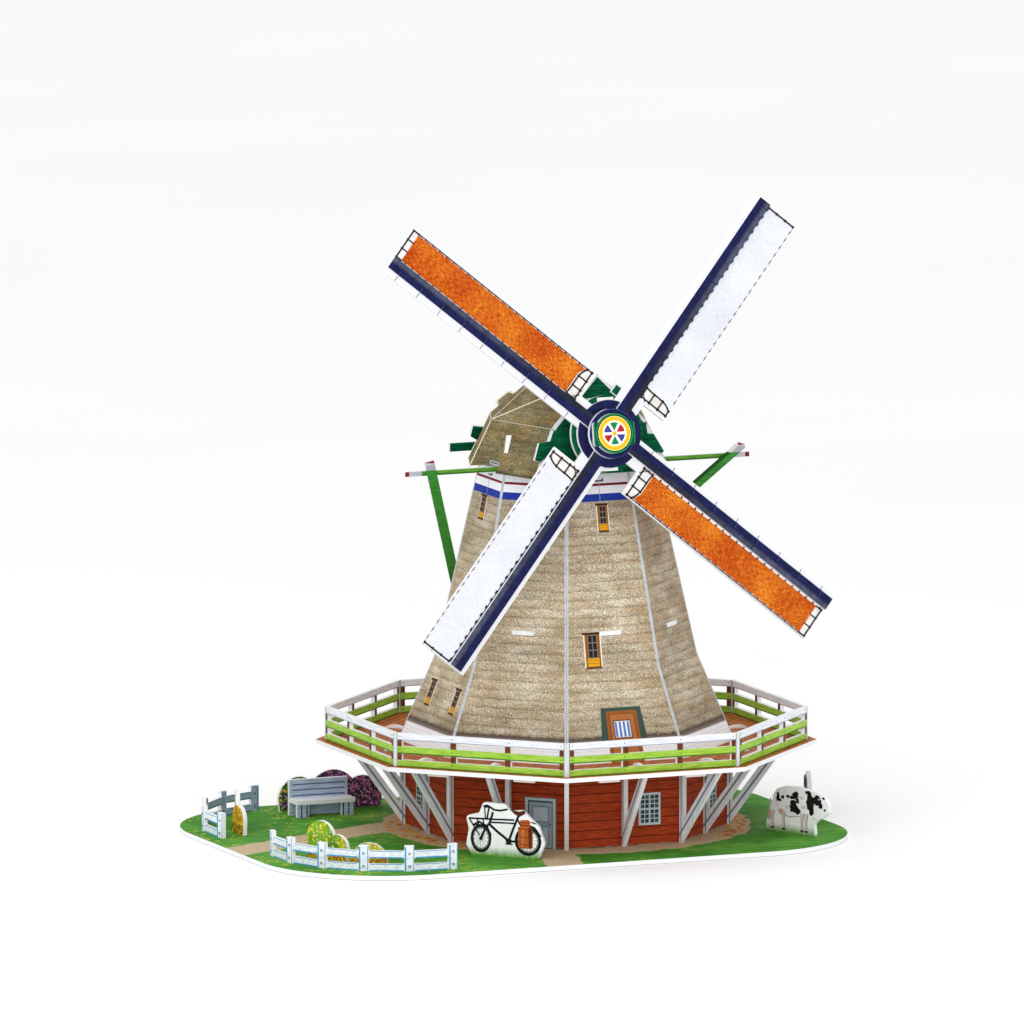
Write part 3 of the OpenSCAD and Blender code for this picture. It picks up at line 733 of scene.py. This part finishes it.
class Inlay:
    """Flat shapes in the plane of a board; place(x, y, lift) gives a point in millimetres."""

    def __init__(self, name, body, slot, place=None):
        self.name, self.body, self.slot, self.place = name, body, slot, place
        self.mesh, self.colours = bmesh.new(), []

    def face(self, corners, colour):
        if colour not in self.colours:
            self.colours.append(colour)
        self.mesh.faces.new(corners).material_index = self.colours.index(colour)

    def rows(self, points, top, bottom=-SUNK):
        high = [self.mesh.verts.new(self.place(x, y, top) * MM) for x, y in points]
        low = [self.mesh.verts.new(self.place(x, y, bottom) * MM) for x, y in points]
        return high, low

    def slab(self, points, colour, top, bottom=-SUNK):
        """Solid piece between two heights over the board."""
        high, low = self.rows(points, top, bottom)
        self.face(high, colour)
        self.face(low[::-1], colour)
        for k in range(len(points)):
            n = (k + 1) % len(points)
            self.face([high[n], high[k], low[k], low[n]], colour)

    def shape(self, points, colour, layer=1):
        self.slab(points, colour, LAYER * layer)

    def band(self, left, right, colour, layer=1, closed=False):
        """Strip between two rows of points."""
        left_high, left_low = self.rows(left, LAYER * layer)
        right_high, right_low = self.rows(right, LAYER * layer)
        count = len(left) if closed else len(left) - 1
        for k in range(count):
            n = (k + 1) % len(left)
            self.face([left_high[k], right_high[k], right_high[n], left_high[n]], colour)
            self.face([left_low[n], right_low[n], right_low[k], left_low[k]], colour)
            self.face([left_high[n], left_low[n], left_low[k], left_high[k]], colour)
            self.face([right_high[k], right_low[k], right_low[n], right_high[n]], colour)
        if not closed:
            self.face([left_high[0], left_low[0], right_low[0], right_high[0]], colour)
            self.face([left_high[-1], right_high[-1], right_low[-1], left_low[-1]], colour)

    def line(self, points, width, colour, layer=1):
        left, right = [], []
        for k, (x, y) in enumerate(points):
            before = points[max(k - 1, 0)]
            after = points[min(k + 1, len(points) - 1)]
            dx, dy = after[0] - before[0], after[1] - before[1]
            size = math.hypot(dx, dy) * 2 / width
            left.append((x - dy / size, y + dx / size))
            right.append((x + dy / size, y - dx / size))
        self.band(left, right, colour, layer)

    def box(self, x0, y0, x1, y1, colour, layer=1):
        self.shape([(x0, y0), (x1, y0), (x1, y1), (x0, y1)], colour, layer)

    def arc(self, x, y, rx, ry, start=0.0, end=360.0, parts=24):
        steps = [math.radians(start + (end - start) * k / parts) for k in range(parts + (end - start < 360))]
        return [(x + rx * math.cos(a), y + ry * math.sin(a)) for a in steps]

    def disc(self, x, y, rx, colour, layer=1, ry=None, parts=14):
        self.shape(self.arc(x, y, rx, ry or rx, parts=parts), colour, layer)

    def ring(self, x, y, outer, inner, colour, layer=1, squash=1.0, parts=36):
        self.band(
            self.arc(x, y, outer * squash, outer, parts=parts),
            self.arc(x, y, inner * squash, inner, parts=parts),
            colour, layer, closed=True,
        )

    def done(self):
        bmesh.ops.recalc_face_normals(self.mesh, faces=self.mesh.faces)
        data = bpy.data.meshes.new(self.name)
        self.mesh.to_mesh(data)
        self.mesh.free()
        for colour in self.colours:
            data.materials.append(ink(colour))
        piece = add_object(self.name, data)
        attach(piece, self.body)


def tower_face(z):
    """Distance of the tower's outer face from its axis at a height."""
    if z >= BEND_Z:
        return TOWER_TOP_FACE + (BEND_FACE - TOWER_TOP_FACE) * (TOWER_TOP_Z - z) / (TOWER_TOP_Z - BEND_Z)
    return BEND_FACE + (TOWER_FOOT - BEND_FACE) * (BEND_Z - z) / (BEND_Z - DECK_TOP)


def on_tower(i):
    return lambda x, z, lift: sideways(i) * x + outward(i) * (tower_face(z) + lift) + UP * z


def upright(i, face_distance, flip=1):
    """Place on an upright wall of octagon face i; flip -1 is its inner side."""
    return plane(outward(i) * face_distance, sideways(i), UP, outward(i) * flip)


def loft_window(inlay, x, wide, low, high):
    """Window of dark panes in a golden frame, under a lintel, with a yellow lower panel."""
    h = wide / 2
    inlay.box(x - h * 0.92, low, x + h * 0.92, high - 0.4, "#efe6d4")
    inlay.box(x - h * 0.78, low, x + h * 0.78, high - 0.4, "#8a5a26", 2)
    panel = low + (high - low) * 0.28
    inlay.box(x - h * 0.46, panel, x + h * 0.46, high - 1.2, "#8b8078", 3)
    tall = (high - 1.2 - panel) / 3
    for r in range(3):
        for c in (-1, 1):
            inlay.box(x + h * (0.23 * c - 0.19), panel + tall * r + 0.2, x + h * (0.23 * c + 0.19),
                      panel + tall * (r + 1) - 0.2, "#241f26", 4)
    inlay.box(x - h * 0.62, low + 0.5, x + h * 0.62, panel - 0.3, "#e0a31e", 3)
    for part in (0.4, 0.7):
        z = low + (panel - low) * part
        inlay.box(x - h * 0.62, z, x + h * 0.62, z + 0.22, "#a56f14", 4)
    inlay.box(x - h, high - 0.9, x + h * 0.85, high, "#43241a", 5)
    inlay.box(x - h * 0.8, low - 0.5, x + h * 0.8, low + 0.2, "#5d3a22", 5)


def tower_prints():
    front = Inlay("tower_front_prints", "base", "thatch_board", on_tower(0))
    loft_window(front, 0.9, 6.4, 142.8, 155.2)
    loft_window(front, -9.1, 9.4, 82.6, 98.2)
    # Door with a glazed upper half, in a dark green frame
    front.shape([(-10.4, 50.4), (12, 50.4), (10.4, 64.8), (-8.8, 64.8)], "#3b5247")
    front.shape([(-7.4, DECK_TOP), (9.2, DECK_TOP), (8.2, 63.3), (-6.6, 63.3)], "#9c5a2c", 2)
    front.shape([(-5.8, DECK_TOP), (7.6, DECK_TOP), (6.8, 62.0), (-5.2, 62.0)], "#b06c38", 3)
    front.line([(-5.8, DECK_TOP), (-5.2, 62.0), (6.8, 62.0), (7.6, DECK_TOP)], 0.3, "#5e2f14", 4)
    front.box(-3.9, 51.4, 4.8, 59.4, "#6f3b1b", 4)
    front.box(-3.4, 51.9, 4.3, 58.9, "#f3f6fc", 5)
    for k in range(4):
        front.box(-3.2 + 2.0 * k, 52.1, -2.1 + 2.0 * k, 58.7, "#5f7fc4", 6)
    for z in (43.0, 48.2):
        front.line([(-3.4, z), (5.2, z)], 0.25, "#5e2f14", 4)
    front.done()
    left = Inlay("tower_left_prints", "base", "thatch_board", on_tower(6))
    loft_window(left, -1.3, 7.4, 145.2, 156.0)
    loft_window(left, -12.5, 7.2, 59.4, 70.8)
    loft_window(left, 16.7, 7.2, 59.2, 70.4)
    left.done()
    back = Inlay("tower_rear_prints", "base", "thatch_board", on_tower(3))
    loft_window(back, 0, 7.6, 90, 101.5)
    loft_window(back, 0, 6.4, 142.8, 155.2)
    back.done()
    slot_shade_and_lines = Inlay("tower_slot_shade_and_lines", "base", "thatch_board")
    for i in range(FACES):
        slot_shade_and_lines.place = on_tower(i)
        # Dark box near the top of each face: painted shade in a slot; a thin grey line runs up through the
        # bands.
        slot_shade_and_lines.box(-1.9, 164.9, 2.5, 166.4, "#53545c")
        slot_shade_and_lines.line([(0.2, 156.4), (0.2, 168.0)], 0.22, "#a9acb8", 2)
    slot_shade_and_lines.done()


def house_window(inlay, x0, x1, low, high):
    """Window of small panes in a pale grey frame, with a thicker bar across and down the middle."""
    inlay.box(x0 - 0.3, low - 0.3, x1 + 0.3, high + 0.3, "#5b2416")
    inlay.box(x0, low, x1, high, "#c5cccf", 2)
    columns, lines = 4, 6
    rim, thin, thick = 1.1, 0.42, 0.9
    wide = (x1 - x0 - 2 * rim - (columns - 2) * thin - thick) / columns
    tall = (high - low - 2 * rim - (lines - 2) * thin - thick) / lines
    for c in range(columns):
        for r in range(lines):
            x = x0 + rim + c * (wide + thin) + (thick - thin) * (c >= columns // 2)
            z = low + rim + r * (tall + thin) + (thick - thin) * (r >= lines // 2)
            inlay.box(x, z, x + wide, z + tall, "#27444c" if (c + r) % 3 else "#3d6066", 3)


def house_prints():
    for name, face, x0, x1, low, high in (
        ("house_window_front", 0, 7.3, 18.1, 11.0, 25.8),
        ("house_window_left", 6, -15.0, -3.2, 10.6, 24.6),
        ("house_window_right", 1, 5.0, 15.0, 11.6, 25.4),
        ("house_window_back", 3, -6.0, 6.0, 11.0, 25.8),
    ):
        inlay = Inlay(name, "base", "red_board", upright(face, HOUSE_FACE))
        house_window(inlay, x0, x1, low, high)
        inlay.done()
    door = Inlay("house_door_print", "base", "red_board", upright(7, HOUSE_FACE))
    for layer, box in enumerate((
        (7.5, GROUND, 23.0, 25.4, "#5d6d75"),
        (7.8, GROUND, 22.7, 25.0, "#bcc7cc"),
        (9.2, GROUND, 21.3, 23.9, "#43626b"),
        (9.9, GROUND + 0.4, 20.9, 23.0, "#96a8b1"),
    ), 1):
        door.box(*box, layer)
    for x0, x1, low, high in ((11.2, 19.6, 14.0, 21.4), (11.2, 14.9, 4.2, 12.4), (15.9, 19.6, 4.2, 12.4)):
        for layer, (inset, colour) in enumerate(((0, "#5f727c"), (0.35, "#a5b5bd"), (1.0, "#b7c5cb")), 5):
            door.box(x0 + inset, low + inset, x1 - inset, high - inset, colour, layer)
    door.disc(19.9, 13.2, 0.4, "#32383d", 7)
    door.done()


def rail_prints():
    nails = Inlay("rail_nail_prints", "base", "rail_board")
    wide = RAIL_FACE * math.tan(HALF) - 0.8
    for i in range(FACES):
        for flip, distance in ((1, RAIL_FACE), (-1, RAIL_FACE - BOARD)):
            nails.place = upright(i, distance, flip)
            for x in (-wide + 1.9, -wide / 3, wide / 3, wide - 1.9):
                for z in (1.7, 7.6, 13.9):
                    nails.disc(x, DECK_TOP + z, 0.3, "#2f5a2c" if z < 10 else "#6f7886", parts=8)
    nails.done()


def sail_prints(k):
    across, length = sail_axes(k)
    orange = k % 2 == 0
    black, soot = "#24262c", "#2c2f3c"
    place = plane(HUB, across, length, SHAFT, -BOARD)
    inlay = Inlay(f"sail_lattice_{k}", "sails", "sail_orange" if orange else "sail_white", place)
    inlay.line([(2.2, 23.0), (17.4, 23.0)], 0.75, black, 2)
    curve = [(1.9, 28.0), (5.5, 27.6), (9.0, 27.6), (12.3, 27.5), (14.2, 27.1), (16.0, 26.3), (17.4, 25.3)]
    inlay.line(curve, 0.75, black, 3)
    for w, s in ((2.5, 27.9), (7.3, 27.5), (12.3, 27.5), (17.2, 25.5)):
        inlay.line([(w, 22.2), (w, s + 0.6)], 0.65, black, 4)
        inlay.disc(w, 23.0, 0.7, black, 5, parts=8)
        inlay.disc(w, s, 0.65, black, 5, parts=8)
    inlay.line([(1.2, 26.2), (5.4, 22.0)], 0.35, black, 6)
    if orange:
        inlay.line([(SAIL_EDGE, 25.0), (SAIL_EDGE, 130.6)], 0.5, "#30333c", 2)
    inlay.line([(2.15, CLOTH_FOOT), (2.15, CLOTH_TIP)], 0.7, "#eceef2", 2)
    inlay.line([(1.55, CLOTH_FOOT), (1.55, CLOTH_TIP)], 0.35, black, 3)
    inlay.line([(2.0, CLOTH_HEM), (17.6, CLOTH_HEM)], 0.75, black, 3)
    for w in (2.6, 7.3, 12.3, 17.2):
        inlay.line([(w, 127.0 if orange else 129.4), (w, 130.8)], 0.6, black, 4)
    if not orange:
        inlay.line([(2.05, CLOTH_FOOT), (2.05, 129.4)], 0.4, soot, 4)
    for n in range(24):
        s = 30.6 + LACE_STEP * n
        if orange:
            inlay.box(16.5, s - 0.25, 17.7, s + 0.25, black, 3)
            inlay.box(1.3, s + 1.6, 2.8, s + 2.3, black, 4)
        else:
            inlay.line([(SAIL_EDGE, s - 1.5), (SAIL_EDGE, s + 1.7)], 0.26, "#6c7078", 2)
            inlay.disc(17.3, s, 0.36, "#34373f", 3, parts=8)
            inlay.box(1.7, s + 0.9, 2.75, s + 2.6, soot, 4)
    inlay.done()
    if not orange:
        return
    seams = Inlay(f"stock_seam_{k}", "sails", "navy_board", plane(HUB, across, length, SHAFT))
    for n in range(8):
        s = 34.6 + SEAM_STEP * n
        seams.line([(-4.4, s), (-1.4, s)], 0.4, "#07080f")
        seams.line([(-4.4, s + 0.5), (-1.8, s + 0.5)], 0.25, "#46508c")
    seams.done()


def hub_prints():
    inlay = Inlay("hub_rosette", "sails", "green_board", plane(HUB, LATERAL, SHAFT_UP, SHAFT, 2 * BOARD))
    inlay.ring(0, 0, 9.0, 8.6, "#2f9a5e")
    inlay.ring(0, 0, 7.8, 5.6, "#f2bb1d", 2)
    inlay.ring(0, 0, 7.9, 7.6, "#fbe9a0", 3)
    inlay.ring(0, 0, 5.9, 5.5, "#fdf3c8", 4)
    inlay.disc(0, 0, 5.5, "#f6f6f4", 2, parts=36)
    for k, colour in enumerate(2 * ("#b3242c", "#12854a", "#3c4196")):
        start = 60 * k + 8
        tip = heading(start + 22) * 1.2
        inlay.shape([(tip.x, tip.y)] + inlay.arc(0, 0, 5.0, 5.0, start, start + 44, 8), colour, 4)
    inlay.disc(0, 0, 1.0, "#f2bb1d", 5, parts=16)
    for s in (-1, 1):
        inlay.line([(s * 9.7, -4.6), (s * 9.7, 4.6)], 0.3, "#2f9a5e", 2)
    inlay.done()
    mark = Inlay("hub_back_lines", "sails", "navy_board", plane(HUB, LATERAL, SHAFT_UP, SHAFT, BOARD))
    mark.ring(0, 0, 11.3, 10.9, "#343b7c")
    mark.done()


def crease_axes(start, end):
    """(direction along a roof crease, out of the cap, across it, length of the crease)."""
    run = (end - start).normalized()
    out = (start + end) / 2 - CAP_CORE
    out = (out - run * out.dot(run)).normalized()
    return run, out, run.cross(out), (end - start).length


def cap_prints():
    """White board edges along the roof's creases, and the ends of the boards that hold the roof."""
    cream = "#e9dfc6"
    creases = Inlay("roof_crease_edges", "cap", "roof_board")
    tabs = Inlay("roof_board_tabs", "cap", "roof_board")
    for side in (-1, 1):
        apex, ridge_end = Vector((0, -36.6, ROOF_CREST)), Vector((0, 13.5, ROOF_CREST))
        middle, front = Vector((37 * side, 0, ROOF_EAVES)), Vector((23 * side, -40.8, ROOF_EAVES))
        rear, low = Vector((28.2 * side, 22.3, ROOF_EAVES)), Vector((48.3 * side, 0, ROOF_LOW))
        low_rear = Vector((37.6 * side, 27.1, ROOF_LOW))
        # Each crease's white board edge has its own tone, cream to grey: painted light and shade.
        for start, end, width, colour in (
            (middle, ridge_end, 0.8, cream),
            (middle, apex, 0.7, "#e2dac4"),
            (middle, low, 0.8, "#efe7d2"),
            (middle, front, 0.5, "#a9a592"),
            (middle, rear, 0.6, "#cfc7ae"),
            (rear, ridge_end, 0.7, cream),
            (rear, low_rear, 0.7, cream),
        ):
            run, out, across, size = crease_axes(start, end)
            creases.place = plane(start, run, across, out)
            y, x = width / 2, size - 0.3
            creases.slab([(0.3, -y), (x, -y), (x, y), (0.3, y)], colour, LAYER, -0.25)
        # Rounded board ends over the rear creases
        for end, first, last, high in ((ridge_end, 0.12, 0.36, 2.3), (low_rear, 0.3, 0.56, 2.0)):
            run, out, across, size = crease_axes(rear, end)
            x0, x1, y = size * first, size * last, high * 0.7
            outline = [(x0, 0), (x1, 0), (x1 - 0.2, y), (x1 - 1.4, high), (x0 + 1.4, high), (x0 + 0.2, y)]
            tabs.place = plane(rear, run, out, across)
            tabs.slab(outline, cream, 0.95, -0.95)
            inner = [(x0 + 0.5, 0), (x1 - 0.5, 0), (x1 - 1.6, high - 0.6), (x0 + 1.6, high - 0.6)]
            tabs.slab(inner, "#8a8262", 1.0, -1.0)
        # White board end and the slot under it on the low front slope; the slot's dark inside is painted
        # shade, in a grey rim
        slope = (front - middle).cross(low - middle).normalized() * -side
        along = (front - middle).normalized()
        up = slope.cross(along) * side
        tabs.place = plane(middle, along, up, slope)
        tabs.slab([(13.4, -6.2), (17.0, -5.8), (18.4, -14.2), (15.8, -14.6)], "#ecebe6", 1.1)
        tabs.slab([(12.9, -6.4), (13.7, -6.2), (16.1, -14.5), (15.4, -14.8)], "#8f8a70", 1.0)
        tabs.slab([(8.8, -20.2), (15.6, -20.8), (15.5, -19.4), (9.0, -18.8)], "#b9bcc2", 0.1)
        tabs.slab([(9.3, -19.8), (15.1, -20.4), (15.1, -19.8), (9.4, -19.2)], "#3d3a33", 0.15)
    creases.done()
    tabs.done()
    gable = Inlay("gable_edge_strips", "cap", "green_board", plane(HUB, LATERAL, SHAFT_UP, SHAFT, -GABLE_BACK))
    gable.slab([(0.2, 27.6), (-0.4, 26.6), (21.2, 4.3), (22.6, 5.2)], "#e3e6ea", 0.1, -1.9)
    gable.line([(-0.2, 26.7), (-22.9, 3.2)], 0.6, "#c9cdd2")
    gable.shape([(5.4, 19.2), (8.8, 23.2), (13.0, 19.3), (9.8, 15.3)], "#eceef0", 8)
    gable.shape([(6.2, 19.2), (8.8, 22.2), (12.0, 19.3), (9.7, 16.4)], "#0a5a38", 9)
    gable.done()


def deck_prints():
    """Ends of the brackets' tabs, which stand through the deck round the tower."""
    tabs = Inlay("bracket_tabs", "base", "grey_board")
    for j in range(2 * FACES):
        out, across, wall = bracket_axes(j)
        tabs.place = plane(out * wall + UP * DECK_TOP, out, UP, across)
        dome = [(12.2, -0.5), (21.8, -0.5), (21.4, 0.4), (19.6, 1.2), (17.0, 1.5), (14.4, 1.2), (12.6, 0.4)]
        tabs.slab(dome, "#f1f2f4", 1.0, -1.0)
    tabs.done()


def fence_prints():
    """Blue outlines on both sides of the fences' posts and rails, and a ring for every nail."""
    rows = (("fence_front", 56, 171, 21, 6), ("fence_side", 59, 189.5, -21, 5))
    for node, radius, first, step, count in rows:
        inlay = Inlay(f"{node}_lines", "base", "fence_board")
        outs = [heading(first + step * k) for k in range(count)]
        posts = [FENCE_CENTRES[node] + out * radius + UP * GROUND for out in outs]
        for k, (post, out) in enumerate(zip(posts, outs)):
            for flip, shade in ((1, "#4a9ad0"), (-1, "#4f6f93")):
                inlay.place = plane(post, UP.cross(out), UP, out * flip, BOARD / 2)
                inlay.line([(-1.8, 0.1), (-1.8, 11.0)], 0.7, shade)
                inlay.line([(1.9, 0.1), (1.9, 11.4)], 0.3, shade)
                for z in (2.2, 8.0):
                    inlay.ring(0, z, 0.62, 0.32, "#5d6672", 2, parts=12)
                if k + 1 == count:
                    continue
                run = posts[k + 1] - post
                side = UP.cross(run.normalized()) * math.copysign(1, -step)
                inlay.place = plane(post, run.normalized(), UP, side * flip, BOARD / 2 - 0.05)
                for z in (0.25, 6.15):
                    inlay.line([(2.6, z), (run.length - 2.6, z)], 0.6, shade)
                    inlay.line([(3.0, z + 2.85), (run.length - 3.0, z + 2.85)], 0.25, shade, 2)
        inlay.done()


def standing(origin, angle, flip):
    """Place on a board that stands on the ground at an angle; flip -1 is its far side."""
    return plane(Vector((*origin, GROUND)), heading(angle), UP, heading(angle - 90) * flip, BOARD / 2)


def two_sides(name, slot, origin, angle):
    """An Inlay for the near side of a standing board, and then one for its far side."""
    for side, flip in (("front", 1), ("back", -1)):
        draw = Inlay(f"{name}_print_{side}", "base", slot, standing(origin, angle, flip))
        yield draw
        draw.done()


def bicycle_prints():
    black, grey, rust = "#17181b", "#6d7177", "#6f3012"
    foot = heading(BICYCLE_ANGLE) * 9.9 + heading(BICYCLE_ANGLE - 90) * 96
    for draw in two_sides("bicycle", "bicycle_board", (foot.x, foot.y), BICYCLE_ANGLE):
        for x, z, rx, rz in ((-11.6, 8.0, 4.9, 6.3), (11.4, 8.0, 6.3, 6.5)):
            draw.ring(x, z, rz + 0.2, rz - 1.3, black, 2, rx / rz)
            draw.ring(x, z, rz - 1.5, rz - 1.8, "#3a3c41", 2, rx / rz)
            for n in range(14):
                spoke = heading(360 / 14 * n + 6)
                tip = (x + (rx - 1.0) * spoke.x, z + (rz - 1.0) * spoke.y)
                draw.line([(x + 0.7 * spoke.x, z + 0.7 * spoke.y), tip], 0.16, grey, 1)
            draw.disc(x, z, 0.8, black, 3)
        for points, width in (
            ([(-11.6, 8.0), (-9.6, 12.4), (-7.4, 15.2), (-6.2, 18.6), (-5.8, 20.4)], 0.6),
            ([(-6.6, 17.0), (4.6, 17.3)], 0.45),
            ([(-7.2, 15.6), (5.0, 15.8)], 0.4),
            ([(-7.4, 14.6), (-3.4, 11.4), (2.0, 7.6)], 0.65),
            ([(6.8, 19.4), (4.4, 13.8), (2.0, 7.6)], 0.6),
            ([(2.0, 7.4), (11.4, 7.8)], 0.55),
            ([(6.4, 17.4), (9.2, 12.8), (11.4, 8.0)], 0.45),
            ([(-9.6, 22.3), (-7.6, 22.8), (-5.2, 21.4), (-2.4, 21.2), (1.4, 22.0)], 0.5),
            ([(-17.4, 16.9), (-6.2, 17.1)], 0.45),
            ([(-15.6, 14.2), (-8.0, 14.0)], 0.35),
            ([(-17.4, 16.9), (-15.6, 14.2), (-12.4, 9.4)], 0.35),
            ([(-13.6, 16.9), (-12.6, 14.2)], 0.3),
            ([(-10.6, 16.9), (-10.2, 14.2)], 0.3),
            ([(-9.8, 22.2), (-9.4, 17.2)], 0.3),
            ([(-15.6, 13.6), (-12.6, 15.6), (-8.8, 13.8), (-6.8, 9.6)], 0.55),
            ([(6.6, 13.4), (10.4, 15.6), (14.6, 14.2), (17.6, 10.4)], 0.55),
        ):
            draw.line(points, width * 1.7, black, 4)
        draw.disc(2.0, 7.5, 1.5, black, 5, 1.1)
        draw.line([(0.4, 6.2), (3.8, 6.2)], 0.6, black, 5)
        saddle = [(2.9, 21.9), (4.6, 20.2), (7.2, 18.9), (10.0, 20.4), (9.9, 21.9), (6.8, 21.3)]
        draw.shape(saddle, "#4f241a", 5)
        draw.shape([(6.9, 5.0), (7.4, 4.6), (13.0, 4.6), (13.6, 5.2), (13.7, 13.4), (12.2, 15.2), (12.4, 17.0),
                    (11.6, 17.7), (8.0, 17.5), (7.4, 16.4), (8.0, 15.0), (6.7, 13.2)], "#b4592a", 6)
        draw.shape([(8.2, 5.4), (9.4, 5.2), (9.6, 13.6), (8.4, 13.2)], "#cc7440", 7)
        draw.shape([(11.9, 5.0), (13.2, 5.0), (13.5, 13.2), (12.2, 15.0), (11.6, 13.2)], "#5e2713", 7)
        draw.line([(7.0, 13.3), (13.6, 13.5)], 0.35, rust, 7)
        draw.line([(8.0, 15.1), (12.2, 15.3)], 0.3, rust, 8)
        for z in (6.6, 10.0, 16.6):
            draw.line([(7.6, z), (10.0, z - 0.3), (12.6, z)], 0.3, "#7a3415", 8)
        draw.line([(-8.6, 17.2), (-7.6, 22.6)], 0.7, black, 5)
        draw.line([(-10.4, 22.6), (-8.8, 23.2), (-7.0, 22.4)], 0.9, black, 5)
        draw.line([(13.0, 16.8), (15.2, 16.2)], 0.4, black, 7)


def hide(draw, patches, seed):
    """Black patches with an uneven outline."""
    rng = random.Random(seed)
    for (x, z), rx, rz in patches:
        points = []
        for n in range(14):
            corner = heading(360 / 14 * n) * (1 + rng.uniform(-0.26, 0.26))
            points.append((x + rx * corner.x, z + rz * corner.y))
        draw.shape(points, "#1d1c20", 2)


def cow_prints():
    patches = (
        ((7.0, 16.2), 0.9, 2.0), ((8.3, 14.9), 0.8, 0.9), ((9.9, 16.4), 1.0, 0.7), ((13.2, 17.1), 1.2, 0.8),
        ((15.4, 16.7), 1.1, 0.9), ((17.6, 18.0), 1.9, 1.6), ((18.9, 15.5), 1.0, 1.3), ((15.6, 14.8), 1.0, 0.9),
        ((16.4, 12.6), 2.5, 2.7), ((19.2, 10.8), 1.5, 1.3), ((25.3, 20.0), 1.6, 0.8), ((26.4, 15.8), 2.3, 3.9),
        ((27.6, 11.6), 1.3, 2.0), ((30.6, 17.0), 2.4, 2.2), ((33.0, 14.6), 1.5, 1.5), ((34.8, 18.3), 0.9, 0.6),
        ((35.6, 13.0), 0.7, 0.5),
    )
    for draw in two_sides("cow_1", "animal_board", (78.4, -50.6), COW_1_ANGLE):
        hide(draw, patches, 5)
        draw.disc(8.9, 9.9, 1.6, "#d9a79c", 3, 1.1)
        for x in (3.7, 10.5, 21.7, 24.2):
            leg = ((-1.3, 10.2), (-0.7, 6.4), (-0.8, 2.2), (0.8, 2.2), (0.5, 6.4), (1.3, 10.2))
            draw.shape([(x + dx, z) for dx, z in leg], "#dcd3d3", 1)
            draw.line([(x + 1.1, 9.8), (x + 0.4, 6.2), (x + 0.6, 2.4)], 0.45, "#a59796", 2)
            draw.line([(x - 1.1, 9.8), (x - 0.6, 6.2), (x - 0.7, 2.4)], 0.3, "#c0b4b2", 2)
            draw.disc(x, 1.9, 1.1, "#4c4038", 3, 0.55)
        draw.line([(2.6, 15.5), (2.2, 12.0), (1.9, 9.5)], 0.5, "#c4b8b0", 2)
        draw.shape([(1.4, 9.8), (2.6, 9.8), (2.9, 6.4), (1.6, 4.6), (0.9, 6.6)], "#c9a58c", 3)
        draw.line([(7.5, 9.0), (14, 7.8), (20, 8.4)], 0.5, "#b0a7a8", 1)
        shades = ((12.4, 12.0, 1.2), (21.6, 17.2, 1.4), (22.6, 13.0, 1.6), (6.2, 12.6, 1.2), (28.8, 8.4, 0.9))
        for x, z, r in shades:
            draw.disc(x, z, r, "#dcdbdf", 1, r * 0.6)
        draw.disc(32.0, 17.6, 0.35, "#f0f0f0", 4, parts=8)
    patches = (
        ((3.2, 15.8), 1.9, 3.4), ((4.8, 12.8), 1.3, 1.6), ((9.4, 18.4), 2.6, 1.9), ((11.2, 16.2), 1.5, 1.3),
        ((14.9, 14.6), 2.3, 3.5), ((16.6, 17.4), 1.4, 1.1), ((20.3, 16.4), 1.3, 2.3), ((8.0, 10.6), 1.3, 1.1),
    )
    for draw in two_sides("cow_2", "animal_board", (104.2, -38.5), COW_2_ANGLE):
        hide(draw, patches, 8)
        for x in (3.6, 8.0, 13.4, 16.6):
            draw.shape([(x - 1.1, 9.2), (x - 0.7, 2.2), (x + 0.7, 2.2), (x + 1.1, 9.2)], "#dcd3d3", 1)
            draw.line([(x + 1.0, 9.0), (x + 0.5, 2.4)], 0.4, "#a59796", 2)
            draw.disc(x, 1.9, 1.0, "#4c4038", 3, 0.5)


tower_prints()
house_prints()
rail_prints()
for number in range(1, 5):
    sail_prints(number)
hub_prints()
cap_prints()
deck_prints()
fence_prints()
bicycle_prints()
cow_prints()


# ---- Floor, light and camera ----
def aim(thing, azimuth, height, distance, target):
    """Stands a light or camera off from a target and points it there; azimuth 0 is the front."""
    a, e = math.radians(azimuth), math.radians(height)
    back = Vector((math.sin(a) * math.cos(e), -math.cos(a) * math.cos(e), math.sin(e)))
    thing.location = target + back * distance
    thing.rotation_euler = (-back).to_track_quat("-Z", "Y").to_euler()


def studio():
    """Pale paper floor, white surroundings and three soft lights."""
    floor_mesh = bpy.data.meshes.new("floor")
    r = 30
    floor_mesh.from_pydata([(-r, -r, 0), (r, -r, 0), (r, r, 0), (-r, r, 0)], [], [(0, 1, 2, 3)])
    floor = add_object("floor", floor_mesh)
    paint = Paint("floor_paper", 0.9)
    paint.finish(paint.ramp(paint.noise(0.004, 2), (0.3, "#fbfbfb"), (0.7, "#fdfdfd")))
    floor.data.materials.append(paint.material)
    floor.location.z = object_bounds()[0].z - 0.0002
    floor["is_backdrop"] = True

    world = bpy.data.worlds.new("studio")
    bpy.context.scene.world = world
    world.use_nodes = True
    background = world.node_tree.nodes["Background"]
    background.inputs["Color"].default_value = (1, 1, 1, 1)
    background.inputs["Strength"].default_value = 0.97

    for name, azimuth, height, power, size in (
        ("key", -60, 45, 2.8, 1.1),
        ("fill", 35, 25, 1.4, 1.3),
        ("front", -32, 9, 7.0, 1.4),
    ):
        light = bpy.data.lights.new(name, "AREA")
        light.energy, light.size = power, size
        aim(add_object(name, light), azimuth, height, 1.6, Vector((0, 0, 0.12)))


def photograph():
    """Camera at the photo's angle; its long lens gives the photo's nearly parallel view."""
    camera_data = bpy.data.cameras.new("camera")
    camera_data.sensor_width, camera_data.lens = 36, 808.6
    camera_data.clip_start, camera_data.clip_end = 1, 60
    camera = add_object("camera", camera_data)
    aim(camera, -22.5, 8.473, 10.465, Vector((-0.0228, 0.0095, 0.1458)))
    bpy.context.scene.camera = camera


studio()
photograph()
bpy.context.scene.view_settings.view_transform = "Standard"
